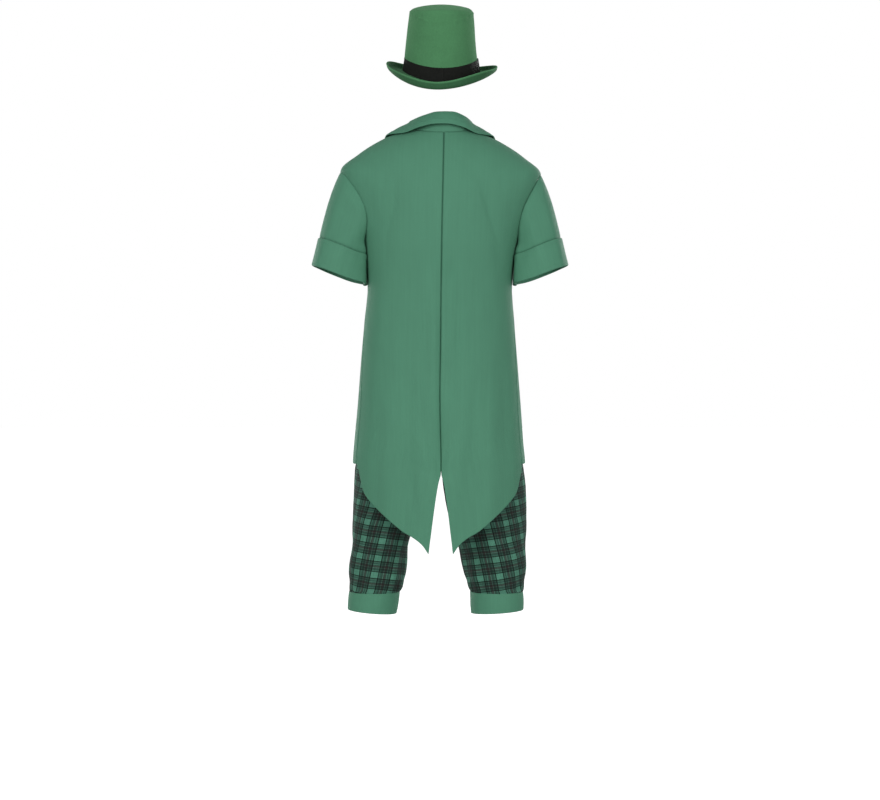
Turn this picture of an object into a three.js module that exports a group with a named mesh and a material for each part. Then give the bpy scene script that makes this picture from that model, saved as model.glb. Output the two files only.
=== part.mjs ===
// Leprechaun costume: a tail coat with short cuffed sleeves, check knee breeches and a felt top hat,
// each in the hollow form and the place that it has when it is worn.
// Units are millimetres. +Z is up, +X is the wearer's right, and the wearer faces +Y.
// Heights in the tables are above the floor that the wearer stands on.
// The origin is in the middle of the coat's neck opening, level with the tops of the shoulder seams.

import * as THREE from "three";

const NECK_HEIGHT = 1600;

const COAT_WALL = 2;
const CUFF_WALL = 2.4;
const BREECHES_WALL = 2;
const KNEE_BAND_WALL = 2.6;
const FELT_WALL = 3;
const RIBBON_WALL = 1;
const SEAM_GAP = 0.4;

const COAT_GREEN = new THREE.MeshStandardMaterial({ color: "#4b8a6c", roughness: 0.62 });
const CHECK_GREEN = new THREE.MeshStandardMaterial({ color: "#2c4f41", roughness: 0.8 });
const FELT_GREEN = new THREE.MeshStandardMaterial({ color: "#4a8558", roughness: 0.95 });
const RIBBON_BLACK = new THREE.MeshStandardMaterial({ color: "#161616", roughness: 0.55 });
const BUTTON_BLACK = new THREE.MeshStandardMaterial({ color: "#1b1b1b", roughness: 0.35 });

const RIGHT = 1;
const LEFT = -1;
const DEGREE = Math.PI / 180;

// Small numeric helpers

const mix = (a, b, f) => a + (b - a) * f;
const clamp = (value, low, high) => Math.min(high, Math.max(low, value));

function ease(from, to, value) {
  const f = clamp((value - from) / (to - from), 0, 1);
  return f * f * (3 - 2 * f);
}

// A table has one row for each section, lowest key first, and named columns, the key being the first.
function table(heading, lines) {
  return { names: heading.split(" "), lines };
}

// Reads a column between two rows along a smooth curve that never overshoots them.
function read({ names, lines }, name, key) {
  const column = names.indexOf(name);
  const last = lines.length - 1;
  let k = 0;
  while (k < last - 1 && key > lines[k + 1][0]) k += 1;
  const rise = (i) => (lines[i + 1][column] - lines[i][column]) / (lines[i + 1][0] - lines[i][0]);
  const slope = (i) => {
    if (i === 0) return rise(0);
    if (i === last) return rise(last - 1);
    const before = rise(i - 1);
    const after = rise(i);
    return before * after > 0 ? (2 * before * after) / (before + after) : 0;
  };
  const span = lines[k + 1][0] - lines[k][0];
  const f = clamp((key - lines[k][0]) / span, 0, 1);
  const a = lines[k][column];
  const b = lines[k + 1][column];
  const lift = slope(k) * span * f * (1 - f) * (1 - f) - slope(k + 1) * span * f * f * (1 - f);
  return mix(a, b, f * f * (3 - 2 * f)) + lift;
}

// Grids of points and the closed walls made from them

// A grid is a list of rows of points. A ring grid's rows close on themselves.
function grid(rowCount, columnCount, point) {
  const rows = [];
  for (let i = 0; i <= rowCount; i += 1) {
    const row = [];
    for (let j = 0; j <= columnCount; j += 1) row.push(point(i / rowCount, j / columnCount));
    rows.push(row);
  }
  return rows;
}

const ringGrid = (rowCount, columnCount, point) =>
  grid(rowCount, columnCount, point).map((row) => row.slice(0, -1));

// The grid moved by a distance along its own normals, which point along row direction x column direction.
function offsetGrid(rows, distance, closed) {
  const last = rows.length - 1;
  const width = rows[0].length;
  const at = (i, j) => rows[clamp(i, 0, last)][closed ? (j + width) % width : clamp(j, 0, width - 1)];
  const moveBy = typeof distance === "function" ? distance : () => distance;
  return rows.map((row, i) =>
    row.map((p, j) => {
      const down = at(i + 1, j).clone().sub(at(i - 1, j));
      const across = at(i, j + 1).clone().sub(at(i, j - 1));
      const normal = down.cross(across).normalize();
      return p.clone().addScaledVector(normal, moveBy(i / last, j / width));
    }),
  );
}

// One closed solid from a face grid and a back grid of the same size, joined round their edges.
function solidBetween(face, back, closed, poles = null) {
  const positions = [];
  const index = [];
  const add = (rows) => {
    const start = positions.length / 3;
    rows.flat().forEach((p) => positions.push(p.x, p.y, p.z));
    return (i, j) => start + i * rows[0].length + (closed ? j % rows[0].length : j);
  };
  const quad = (a, b, c, d) => index.push(a, b, c, a, c, d);
  const front = add(face);
  const rear = add(back);
  const last = face.length - 1;
  const columns = closed ? face[0].length : face[0].length - 1;
  for (let i = 0; i < last; i += 1) {
    for (let j = 0; j < columns; j += 1) {
      quad(front(i, j), front(i + 1, j), front(i + 1, j + 1), front(i, j + 1));
      quad(rear(i, j + 1), rear(i + 1, j + 1), rear(i + 1, j), rear(i, j));
    }
    if (!closed) {
      quad(front(i + 1, 0), front(i, 0), rear(i, 0), rear(i + 1, 0));
      quad(front(i, columns), front(i + 1, columns), rear(i + 1, columns), rear(i, columns));
    }
  }
  for (let j = 0; j < columns; j += 1) {
    quad(front(0, j), front(0, j + 1), rear(0, j + 1), rear(0, j));
    if (!poles) quad(front(last, j + 1), front(last, j), rear(last, j), rear(last, j + 1));
  }
  if (poles) {
    const start = positions.length / 3;
    poles.forEach((p) => positions.push(p.x, p.y, p.z));
    for (let j = 0; j < columns; j += 1) {
      index.push(front(last, j + 1), front(last, j), start);
      index.push(rear(last, j), rear(last, j + 1), start + 1);
    }
  }
  return closedGeometry(positions, index);
}

// Turns the faces outwards, whichever way the grid ran.
function closedGeometry(positions, index) {
  let volume = 0;
  const corner = (k) => new THREE.Vector3().fromArray(positions, index[k] * 3);
  for (let k = 0; k < index.length; k += 3) {
    volume += corner(k).dot(corner(k + 1).cross(corner(k + 2)));
  }
  if (volume < 0) {
    for (let k = 0; k < index.length; k += 3) [index[k + 1], index[k + 2]] = [index[k + 2], index[k + 1]];
  }
  const geometry = new THREE.BufferGeometry();
  geometry.setAttribute("position", new THREE.Float32BufferAttribute(positions, 3));
  geometry.setIndex(index);
  geometry.computeVertexNormals();
  return geometry;
}

function wall(middle, thickness, closed = false) {
  const face = offsetGrid(middle, thickness / 2, closed);
  const back = offsetGrid(middle, -thickness / 2, closed);
  return solidBetween(face, back, closed);
}

function piece(name, geometry, material) {
  const mesh = new THREE.Mesh(geometry, material);
  mesh.name = name;
  return mesh;
}

const sideName = (side) => (side === RIGHT ? "right" : "left");
const onSide = (side, p) => new THREE.Vector3(side * p.x, p.y, p.z);

// The coat's body
// A level is a line round the body, named by its height at the centre of the back. It runs from the
// centre back (t = 0) over the side or the shoulder (t = 1) to the centre front (t = 2).
// Above the armpit the levels also cross the armhole, which is cut out of them.

const VENT_LEVEL = 791;
const ARMPIT_LEVEL = 1340;
const SHOULDER_LEVEL = 1480;
const NECK_LEVEL = 1605;

// A square of 1 is an ellipse, and a smaller one gives flatter sides and sharper corners.
const COAT_CENTRES = table("level backDepth frontDepth frontHeight square shift", [
  [600, 147, 133, 600, 0.72, 1.7],
  [700, 147, 133, 700, 0.72, 2.2],
  [814, 145, 132, 814, 0.74, 2.6],
  [900, 138, 129, 900, 0.8, 1],
  [980, 130, 126, 980, 0.86, 0],
  [1090, 123, 123, 1090, 0.9, 1.5],
  [1240, 124, 122, 1240, 0.88, 3],
  [1340, 130, 120, 1340, 0.82, 4.2],
  [1410, 131, 113, 1394, 0.78, 5.4],
  [1480, 124, 100, 1437, 0.82, 7],
  [1530, 113, 84, 1478, 0.9, 8],
  [1570, 100, 63, 1516, 1, 9],
  [1605, 84, 38, 1560, 1, 9.4],
]);

const COAT_SIDES = table("level left right behind leftHeight rightHeight", [
  [600, 212, 207, 0, 600, 600],
  [700, 212, 207, 0, 700, 700],
  [814, 211, 206, 0, 814, 814],
  [858, 208, 202, 0, 858, 858],
  [943, 200, 196, 0, 943, 943],
  [1074, 190, 186, 0, 1074, 1074],
  [1161, 182, 179, 0, 1161, 1161],
  [1234, 175, 174, 0, 1234, 1234],
  [1300, 180, 179, 0, 1300, 1300],
  [1340, 187, 187, 0, 1341, 1341],
  [1410, 213, 214, 0, 1427, 1424],
  [1480, 241, 244, 1, 1517, 1510],
  [1530, 197, 204, 4, 1560, 1551],
  [1570, 136, 142, 8, 1597, 1591],
  [1605, 80, 83, 11, 1619, 1617],
]);

const ARMHOLE_CUT = { left: { behind: 0.36, ahead: 0.3 }, right: { behind: 0.25, ahead: 0.3 } };

const sideAt = (side, name, level) => read(COAT_SIDES, name.replace("side", sideName(side)), level);

// How far round the body the armhole's edge lies at a level between the armpit and the shoulder.
function armholeT(side, level, front) {
  const share = clamp((SHOULDER_LEVEL - level) / (SHOULDER_LEVEL - ARMPIT_LEVEL), 0, 1);
  const cut = ARMHOLE_CUT[sideName(side)][front ? "ahead" : "behind"];
  const depth = cut * (2 * Math.sqrt(share * (1 - share))) ** mix(0.75, 1.25, share);
  return front ? 1 + depth : 1 - depth;
}

// Soft folds, each along a straight line on the back or front, as it is seen from there.
const BACK_FOLDS = table("x1 z1 x2 z2 spread depth", [
  [109, 1450, 140, 1335, 18, -4],
  [160, 1150, 166, 900, 24, -5],
  [34, 1220, 44, 1060, 26, -4],
  [4, 1260, 2, 800, 14, -5],
  [-50, 1100, -46, 940, 22, -3.5],
  [-84, 1000, -80, 660, 24, -6],
  [-150, 1180, -158, 900, 24, 4],
  [80, 860, 74, 660, 24, -6],
  [118, 960, 124, 720, 24, 5],
  [-122, 900, -130, 710, 24, 5],
  [-112, 1440, -134, 1330, 18, -3.5],
]);

const FRONT_FOLDS = table("x1 z1 x2 z2 spread depth", [
  [-70, 1180, -124, 1010, 24, -4],
  [76, 1160, 130, 980, 24, -4],
  [-98, 1010, -106, 812, 24, -6],
  [78, 1000, 86, 812, 24, 5],
  [140, 980, 148, 812, 24, -5],
  [-152, 960, -160, 812, 22, 4],
]);

// How far the cloth lies out of its smooth form at a place on the back or front.
function foldDepth(folds, x, z) {
  let sum = 0;
  for (const [x1, z1, x2, z2, spread, depth] of folds.lines) {
    const length = Math.hypot(x2 - x1, z2 - z1);
    const along = ((x - x1) * (x2 - x1) + (z - z1) * (z2 - z1)) / length;
    const aside = ((x - x1) * (z2 - z1) - (z - z1) * (x2 - x1)) / length;
    const beyond = Math.max(0, -along, along - length);
    sum += depth * Math.exp(-((aside / spread) ** 2) - (beyond / (3 * spread)) ** 2);
  }
  return sum;
}

// A point of the coat's cloth, without its folds. It is the middle of the wall.
function coatForm(side, t, level) {
  const front = t > 1;
  const centre = (name) => read(COAT_CENTRES, name, level);
  const angle = (front ? 2 - t : t) * 90 * DEGREE;
  const outward = Math.sin(angle);
  const round = Math.max(0, Math.cos(angle)) ** centre("square");
  const y = mix(-sideAt(side, "behind", level), front ? centre("frontDepth") : -centre("backDepth"), round);
  const z = mix(front ? centre("frontHeight") : level, sideAt(side, "sideHeight", level), outward ** 2);
  const shift = front ? 0 : centre("shift") * Math.cos(angle) ** 2;
  return new THREE.Vector3(side * sideAt(side, "side", level) * outward + shift, y, z);
}

// The same point with the folds, which push the cloth backwards or forwards.
function coatPoint(side, t, level) {
  const p = coatForm(side, t, level);
  const front = t > 1;
  const depth = foldDepth(front ? FRONT_FOLDS : BACK_FOLDS, p.x, p.z) * Math.abs(Math.cos(t * 90 * DEGREE));
  p.y += front ? depth : -depth;
  return p;
}

// t at which a level lies at a distance from the middle plane, on the back or front.
function backAt(side, out, level) {
  return Math.asin(clamp(out / sideAt(side, "side", level), -1, 1)) / (90 * DEGREE);
}

const frontAt = (side, out, level) => 2 - backAt(side, out, level);

// t of the side seam, which swings backwards below the armpit.
const HEM_SEAM_T = 0.79;
const seamT = (level) => mix(1, HEM_SEAM_T, ease(ARMPIT_LEVEL, 900, level));

const PANEL_GAP = 0.0027;

function outerEdge(side, level, front) {
  if (level >= SHOULDER_LEVEL) return front ? 1 + PANEL_GAP : 1 - PANEL_GAP;
  if (level > ARMPIT_LEVEL) return armholeT(side, level, front);
  return seamT(level) + (front ? PANEL_GAP : -PANEL_GAP);
}

// Rows of a panel: even ones down the yoke, then round the armhole, then even ones to the hem.
const ROWS = { yoke: 3, armhole: 9, skirt: 11 };
const ROW_COUNT = ROWS.yoke + ROWS.armhole + ROWS.skirt;

function rowLevel(row, hemLevel) {
  if (row <= ROWS.yoke) return mix(NECK_LEVEL, SHOULDER_LEVEL, row / ROWS.yoke);
  const turn = (row - ROWS.yoke) / ROWS.armhole;
  if (turn <= 1) return mix(SHOULDER_LEVEL, ARMPIT_LEVEL, (1 - Math.cos(Math.PI * turn)) / 2);
  return mix(ARMPIT_LEVEL, hemLevel, (row - ROWS.yoke - ROWS.armhole) / ROWS.skirt);
}

// A row's level at the centre, at a place across the panel, and at the panel's outer edge.
function rowPlace(row, u, hemLevel) {
  const outer = rowLevel(row, hemLevel);
  const upper = ROWS.yoke + ROWS.armhole;
  const inner = row < upper ? mix(NECK_LEVEL, ARMPIT_LEVEL, row / upper) : outer;
  return [inner, mix(inner, outer, u * u), outer];
}

// Back panels, with the swallow tails

const TAIL_EDGE = table("x height", [
  [29, 603],
  [45, 625],
  [66, 641],
  [87, 653],
  [118, 678],
  [147, 704],
  [172, 730],
  [182, 745],
  [191, 778],
  [197, 805],
  [200, 812],
]);

const VENT = table("height out", [
  [603, 29],
  [645, 23.5],
  [705, 16],
  [770, 6],
  [791, 0],
]);

// t of a panel's edge along the centre back seam, and along the vent under it.
function innerEdge(side, level) {
  const vent = level < VENT_LEVEL ? read(VENT, "out", level) : 0;
  return backAt(side, vent + SEAM_GAP, level);
}

// The level at which a column of the panel meets the edge of the tail.
function tailLevel(side, u) {
  let level = 700;
  for (let i = 0; i < 8; i += 1) {
    const t = mix(innerEdge(side, level), outerEdge(side, level, false), u);
    level = read(TAIL_EDGE, "height", Math.sin(t * 90 * DEGREE) * sideAt(side, "side", level));
  }
  return level;
}

function backPanel(side) {
  const columns = 10;
  const hems = Array.from({ length: columns + 1 }, (_, j) => tailLevel(side, j / columns));
  const middle = grid(ROW_COUNT, columns, (v, u) => {
    const [inner, level, outer] = rowPlace(v * ROW_COUNT, u, hems[Math.round(u * columns)]);
    return coatPoint(side, mix(innerEdge(side, inner), outerEdge(side, outer, false), u), level);
  });
  return piece(`coat_back_${sideName(side)}`, wall(middle, COAT_WALL), COAT_GREEN);
}

// Front panels

const FRONT_EDGE = table("level out", [
  [600, -20],
  [1290, -20],
  [1335, 12],
  [1375, 30],
  [1424, 42],
  [1480, 54],
  [1530, 63],
  [1570, 70],
  [1605, 76],
]);

// turn is the share of the panel over which its corner is rounded.
const FRONT_HEM = { side: 812, centre: 820, corner: 34, turn: 0.34 };
const OVERLAP_LIFT = 4;

// The wearer's left front lies over the right one at the centre.
function frontPoint(side, t, level) {
  const p = coatPoint(side, t, level);
  if (side === LEFT) p.y += OVERLAP_LIFT * ease(84, 34, -p.x) * ease(1420, 1345, level);
  return p;
}

function frontPanel(side) {
  const columns = 8;
  const middle = grid(ROW_COUNT, columns, (v, u) => {
    const rounded = FRONT_HEM.corner * (1 - Math.sqrt(1 - (1 - ease(0, FRONT_HEM.turn, u)) ** 2));
    const hem = mix(FRONT_HEM.centre, FRONT_HEM.side, u) + rounded;
    const [inner, level, outer] = rowPlace(v * ROW_COUNT, u, hem);
    const edge = frontAt(side, read(FRONT_EDGE, "out", inner), inner);
    return frontPoint(side, mix(edge, outerEdge(side, outer, true), u), level);
  });
  return piece(`coat_front_${sideName(side)}`, wall(middle, COAT_WALL), COAT_GREEN);
}

// Lapels, which lie on the fronts and fold on their edges

const LAPEL_EDGE = table("level out", [
  [1340, 34],
  [1375, 84],
  [1424, 112],
  [1480, 126],
  [1515, 131],
]);

const LAPEL = { top: 1515, break: 1340, from: 1, lift: 3, roll: 2.2, rows: 9, columns: 4 };

function lapel(side) {
  const middle = grid(LAPEL.rows, LAPEL.columns, (v, u) => {
    const level = mix(LAPEL.top, LAPEL.break, v);
    const inner = frontAt(side, read(FRONT_EDGE, "out", level) + LAPEL.from, level);
    const outer = frontAt(side, read(LAPEL_EDGE, "out", level), level);
    return frontPoint(side, mix(inner, outer, u), level);
  });
  const raised = offsetGrid(middle, (v, u) => -side * (LAPEL.lift + LAPEL.roll * u), false);
  return piece(`coat_lapel_${sideName(side)}`, wall(raised, COAT_WALL), COAT_GREEN);
}

// Collar: a stand that rises from the neck seam and a leaf that falls over it
// s runs from the centre back (0) to the shoulder seam (1) and down the front edge (2).

const COLLAR = table("s standUp standIn edgeX edgeY edgeZ", [
  [0, 51, 5, 0, -95, 1623.5],
  [0.14, 50, 5, 17, -94.5, 1623],
  [0.4, 39, 5, 50, -85, 1617],
  [0.75, 22, 6, 93, -58, 1605.5],
  [1, 16, 6, 127, -20, 1606.5],
  [1.35, 13, 5, 138, 34, 1582],
  [1.7, 9, 3, 134, 66, 1543],
  [2, 5, 2, 124, 80, 1516],
]);

const COLLAR_END_LEVEL = 1520;
const COLLAR_ROLL = 3.2;
const COLLAR_STEPS = 24;
// How far the leaf bulges above the straight way from the roll to its edge, and where its rows lie.
const COLLAR_LEAF = { bulge: 3, upper: 0.4, lower: 0.75 };
const RIGHT_SHOULDER_DROP = 3;
// How far the collar's seam lies above the panels at the centre back and at the shoulder.
const COLLAR_LIFT = { back: 0.9, shoulder: 5, end: 1.2, from: 0.45 };
// The seam goes round the shoulder from s = 1, and down the front edge from here.
const COLLAR_CORNER = 1.2;
// How far inside the front's edge the seam lies, by what s it does, and how far ahead of the cloth.
const COLLAR_INSIDE = { inwards: 3.6, by: 1.35, ahead: 0.8 };

// The seam follows the top of the back and front panels to the front's edge, and goes down inside it.
function collarSeam(side, s) {
  const corner = frontAt(side, read(FRONT_EDGE, "out", NECK_LEVEL), NECK_LEVEL);
  if (s <= COLLAR_CORNER) {
    const t = s <= 1 ? s : mix(1, corner, (s - 1) / (COLLAR_CORNER - 1));
    const lift = mix(COLLAR_LIFT.back, COLLAR_LIFT.shoulder, ease(COLLAR_LIFT.from, 1, s));
    return coatForm(side, t, NECK_LEVEL).add(new THREE.Vector3(0, 0, lift));
  }
  const down = (s - COLLAR_CORNER) / (2 - COLLAR_CORNER);
  const level = mix(NECK_LEVEL, COLLAR_END_LEVEL, down);
  const { inwards, by, ahead } = COLLAR_INSIDE;
  const out = read(FRONT_EDGE, "out", level) - inwards * ease(COLLAR_CORNER, by, s);
  const lift = mix(COLLAR_LIFT.shoulder, COLLAR_LIFT.end, ease(0, 1, down));
  return coatForm(side, frontAt(side, out, level), level).add(new THREE.Vector3(0, ahead, lift));
}

// The section runs up the stand, over the roll and down the leaf.
function collarSection(side, s) {
  const seam = collarSeam(side, s);
  const value = (name) => read(COLLAR, name, s);
  const edge = onSide(side, new THREE.Vector3(value("edgeX"), value("edgeY"), value("edgeZ")));
  if (side === RIGHT) edge.z -= RIGHT_SHOULDER_DROP * ease(0.4, 1, s);
  const outward = edge.clone().sub(seam).setZ(0).normalize();
  const roll = Math.min(COLLAR_ROLL, value("standUp") / 2.5);
  const fold = seam.clone().addScaledVector(outward, -value("standIn"));
  fold.z += value("standUp");
  const inside = fold.clone().addScaledVector(outward, -roll).setZ(fold.z - roll);
  const outside = fold.clone().addScaledVector(outward, roll).setZ(fold.z - roll);
  const leaf = (f) => {
    const height = mix(outside.z, edge.z, f) + COLLAR_LEAF.bulge * Math.sin(Math.PI * f);
    return outside.clone().lerp(edge, f).setZ(height);
  };
  const stand = [seam, seam.clone().lerp(inside, 0.5), inside];
  return [...stand, fold, outside, leaf(COLLAR_LEAF.upper), leaf(COLLAR_LEAF.lower), edge];
}

function collar() {
  const rows = [];
  for (let i = 0; i <= COLLAR_STEPS; i += 1) {
    const across = (2 * i) / COLLAR_STEPS - 1;
    const shift = read(COAT_CENTRES, "shift", NECK_LEVEL) * ease(0.5, 0, Math.abs(across));
    const section = collarSection(across < 0 ? LEFT : RIGHT, 2 * Math.abs(across));
    rows.push(section.map((p, k) => (k > 4 ? p.clone().setX(p.x + shift / 2) : p)));
  }
  return piece("coat_collar", wall(rows, COAT_WALL), COAT_GREEN);
}

// Sleeves and their turned-up cuffs
// angle runs round the sleeve: 0 is the outside, 90 the back, 180 the inside; s runs down it.

const SLEEVE_COLUMNS = 2 * ROWS.armhole;
const SLEEVE_END = { outer: [309, 1294], inner: [185, 1246], depth: 78 };
// How far the sleeve starts from the armhole's edge, on its outside and its inside.
const SLEEVE_START = { outer: 2.6, inner: 5.2 };
// Under the arm the sleeve lies close round the coat's side, at this angle on the back and the front.
const SLEEVE_TUCK = { angle: 146, spread: 20, depth: 11, from: 0.02, to: 0.35 };
const SLEEVE_FOLDS = table("angle s1 s2 spread depth", [
  [60, 0.1, 0.62, 0.16, -4],
  [120, 0.05, 0.5, 0.14, -4],
  [-60, 0.05, 0.6, 0.16, -4],
  [-120, 0.1, 0.5, 0.14, -4],
]);

// A point of the armhole's edge: 0 degrees is the shoulder, 90 the back and 180 the armpit.
function armhole(side, angle) {
  const level = mix(ARMPIT_LEVEL, SHOULDER_LEVEL, (1 + Math.cos(angle)) / 2);
  const front = Math.sin(angle) < 0;
  return coatPoint(side, armholeT(side, level, front), level);
}

function sleeveEnd(side, angle) {
  const outside = (1 + Math.cos(angle)) / 2;
  const { outer, inner, depth } = SLEEVE_END;
  const [x, z] = [0, 1].map((k) => mix(inner[k], outer[k], outside));
  return new THREE.Vector3(side * x, -depth * Math.sin(angle), z);
}

function sleevePoint(side, angle, s) {
  const outside = (1 + Math.cos(angle)) / 2;
  const aside = Math.sin(angle);
  const away = new THREE.Vector3(side * mix(0.36, 0.46, outside), -0.22 * aside, mix(-0.94, -0.86, outside));
  const onwards = new THREE.Vector3(side * mix(0, 0.28, outside), 0, -1).normalize();
  const start = armhole(side, angle).addScaledVector(
    away.normalize(),
    mix(SLEEVE_START.inner, SLEEVE_START.outer, outside),
  );
  const end = sleeveEnd(side, angle);
  const reach = end.distanceTo(start);
  const p = start.clone().lerp(end, s * s * (3 - 2 * s));
  p.addScaledVector(away, reach * s * (1 - s) * (1 - s));
  p.addScaledVector(onwards, -reach * s * s * (1 - s));
  p.x -= side * sleeveTuck(angle, s);
  const outwards = new THREE.Vector3(side * Math.cos(angle), -Math.sin(angle), 0);
  return p.addScaledVector(outwards, sleeveFold(angle, s));
}

function sleeveTuck(angle, s) {
  const turn = Math.abs(Math.atan2(Math.sin(angle), Math.cos(angle))) / DEGREE;
  const bump = (at) => Math.exp(-(((turn - at) / SLEEVE_TUCK.spread) ** 2));
  const across = bump(SLEEVE_TUCK.angle) + bump(360 - SLEEVE_TUCK.angle);
  return SLEEVE_TUCK.depth * ease(SLEEVE_TUCK.from, SLEEVE_TUCK.to, s) * across;
}

function sleeveFold(angle, s) {
  let sum = 0;
  for (const [at, s1, s2, spread, depth] of SLEEVE_FOLDS.lines) {
    const turn = Math.atan2(Math.sin(angle - at * DEGREE), Math.cos(angle - at * DEGREE));
    const along = ease(s1, s1 + 0.2, s) * ease(s2 + 0.25, s2, s);
    sum += depth * along * Math.exp(-((turn / (spread * Math.PI)) ** 2));
  }
  return sum;
}

function sleeve(side) {
  const rows = 7;
  const middle = ringGrid(rows, SLEEVE_COLUMNS, (v, u) => sleevePoint(side, u * 2 * Math.PI, v));
  return piece(`coat_sleeve_${sideName(side)}`, wall(middle, COAT_WALL, true), COAT_GREEN);
}

const CUFF = { depth: 64, beyond: 1, standOff: 4.3, hemOff: 3.8, rows: 3 };

// The cuff stands off the sleeve at its top edge and lies close to it at the fold below.
function cuff(side) {
  const on = ringGrid(CUFF.rows, SLEEVE_COLUMNS, (v, u) => {
    const angle = u * 2 * Math.PI;
    const reach = sleeveEnd(side, angle).distanceTo(armhole(side, angle));
    const below = mix(CUFF.depth, -CUFF.beyond, v);
    const p = sleevePoint(side, angle, Math.min(1, 1 - below / reach));
    p.z += Math.min(0, below);
    return p;
  });
  const raised = offsetGrid(on, (v) => -side * mix(CUFF.standOff, CUFF.hemOff, v), true);
  return piece(`coat_cuff_${sideName(side)}`, wall(raised, CUFF_WALL, true), COAT_GREEN);
}

// Buttons down the front's centre

// seat is how far a button presses into the cloth, and dish how far its face is hollowed.
const BUTTON = {
  radius: 11,
  depth: 2.6,
  bevel: 0.8,
  rim: 1.4,
  dish: 0.6,
  seat: 0.2,
  sides: 14,
  heights: [1250, 1160, 1070],
};

function button(height, number) {
  const { radius, depth, bevel, rim, dish, seat, sides } = BUTTON;
  const profile = [
    [0, 0],
    [radius - bevel, 0],
    [radius, depth / 2],
    [radius - rim, depth],
    [0, depth - dish],
  ].map(([x, y]) => new THREE.Vector2(x, y));
  const mesh = piece(`coat_button_${number}`, new THREE.LatheGeometry(profile, sides), BUTTON_BLACK);
  const cloth = frontPoint(LEFT, 2, height).y + COAT_WALL / 2;
  mesh.position.set(0, cloth - seat, height);
  return mesh;
}

// Breeches
// A level is a height. Above the fork each leg is half of the hips, open at the middle plane; below it,
// it closes into a tube. round runs from the inside of the leg at the back (-1) past the outside (0) to
// the inside at the front (1).

const FORK = 806;
// The gap of a side seam or inside seam, as a share of a panel's way round the leg.
const LEG_SEAM = 0.0022;
const LEG_COLUMNS = 7;

const LEGS = table("level leftInner leftOuter rightInner rightOuter behind ahead", [
  [500, 97, 218, 74, 200, 63, 63],
  [510, 93, 219.5, 70, 202, 66, 66],
  [560, 83, 218.5, 58, 205.5, 74, 73],
  [632, 70, 215.5, 39, 207, 83, 81],
  [697, 49, 213, 21, 207, 91, 89],
  [760, 24, 210, 10, 205, 99, 95],
  [795, 5, 207, 5, 202, 105, 100],
  [806, 1, 205, 1, 200.5, 107, 101],
  [818, -20, 202, -20, 198, 110, 102],
  [835, -55, 199, -55, 195, 114, 104],
  [860, -110, 193, -110, 190, 117, 105],
  [890, -160, 187, -160, 185, 117, 105],
  [930, -180, 180, -178, 178, 114, 103],
  [980, -170, 170, -170, 170, 107, 99],
  [1028, -160, 160, -160, 160, 101, 95],
]);

// Gathers where the cloth meets the knee band, and soft creases behind the knees and down the thighs.
function legCrease(side, angle, level) {
  const gather = 1.6 * Math.sin(13 * angle + side) * ease(545, 508, level) * ease(500, 506, level);
  const thigh = 3.2 * Math.sin(4 * angle + 1.3 * side) * ease(520, 640, level) * ease(830, 740, level);
  const bend = 2.6 * Math.sin((level - 520) / 21 + 2 * angle) * ease(520, 545, level) * ease(680, 600, level);
  return gather + thigh * 0.8 + bend;
}

function legPoint(side, round, level) {
  const value = (name) => read(LEGS, name, level);
  const inner = value(`${sideName(side)}Inner`);
  const outer = value(`${sideName(side)}Outer`);
  const centre = (inner + outer) / 2;
  const half = (outer - inner) / 2;
  const widest = inner < 0 ? Math.acos(clamp((SEAM_GAP / 2 - centre) / half, -1, 1)) : Math.PI;
  const angle = round * widest;
  const depth = Math.sin(angle) < 0 ? value("behind") : value("ahead");
  const crease = legCrease(side, angle, level);
  const beside = mix(1.4, SEAM_GAP / 2, ease(FORK, FORK + 20, level));
  const x = Math.max(beside, centre + (half + crease) * Math.cos(angle));
  return onSide(side, new THREE.Vector3(x, (depth + crease) * Math.sin(angle), level));
}

// Rows crowd together round the fork, where the form changes fastest.
const LEG_ROWS = [1028, 980, 930, 890, 860, 838, 820, 806, 794, 765, 720, 670, 620, 578, 544, 517, 507, 500];

function legPanel(side, front) {
  const middle = LEG_ROWS.map((level) => {
    const row = [];
    for (let j = 0; j <= LEG_COLUMNS; j += 1) {
      const share = mix(LEG_SEAM, 1 - LEG_SEAM, j / LEG_COLUMNS);
      row.push(legPoint(side, front ? share : share - 1, level));
    }
    return row;
  });
  const name = `breeches_${front ? "front" : "back"}_${sideName(side)}`;
  return piece(name, wall(middle, BREECHES_WALL), CHECK_GREEN);
}

const WAISTBAND = { top: 1064, bottom: 1028.6, out: 160, behind: 101, ahead: 95, wall: 3, columns: 28 };

function waistband() {
  const { top, bottom, out, behind, ahead, wall: thickness, columns } = WAISTBAND;
  const middle = ringGrid(1, columns, (v, u) => {
    const angle = u * 2 * Math.PI;
    const depth = Math.sin(angle) < 0 ? behind : ahead;
    return new THREE.Vector3(out * Math.cos(angle), depth * Math.sin(angle), mix(top, bottom, v));
  });
  return piece("breeches_waistband", wall(middle, thickness, true), CHECK_GREEN);
}

// The middle and half of the width at the top and bottom, and how far the lower edge rises outwards.
const KNEE_BANDS = {
  left: { top: [159.5, 61], bottom: [165, 58.5], rise: 5 },
  right: { top: [137.5, 63.5], bottom: [139, 63], rise: 4 },
};
const KNEE_BAND = { top: 499.2, bottom: 453, depth: [63, 60], columns: 18 };

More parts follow.
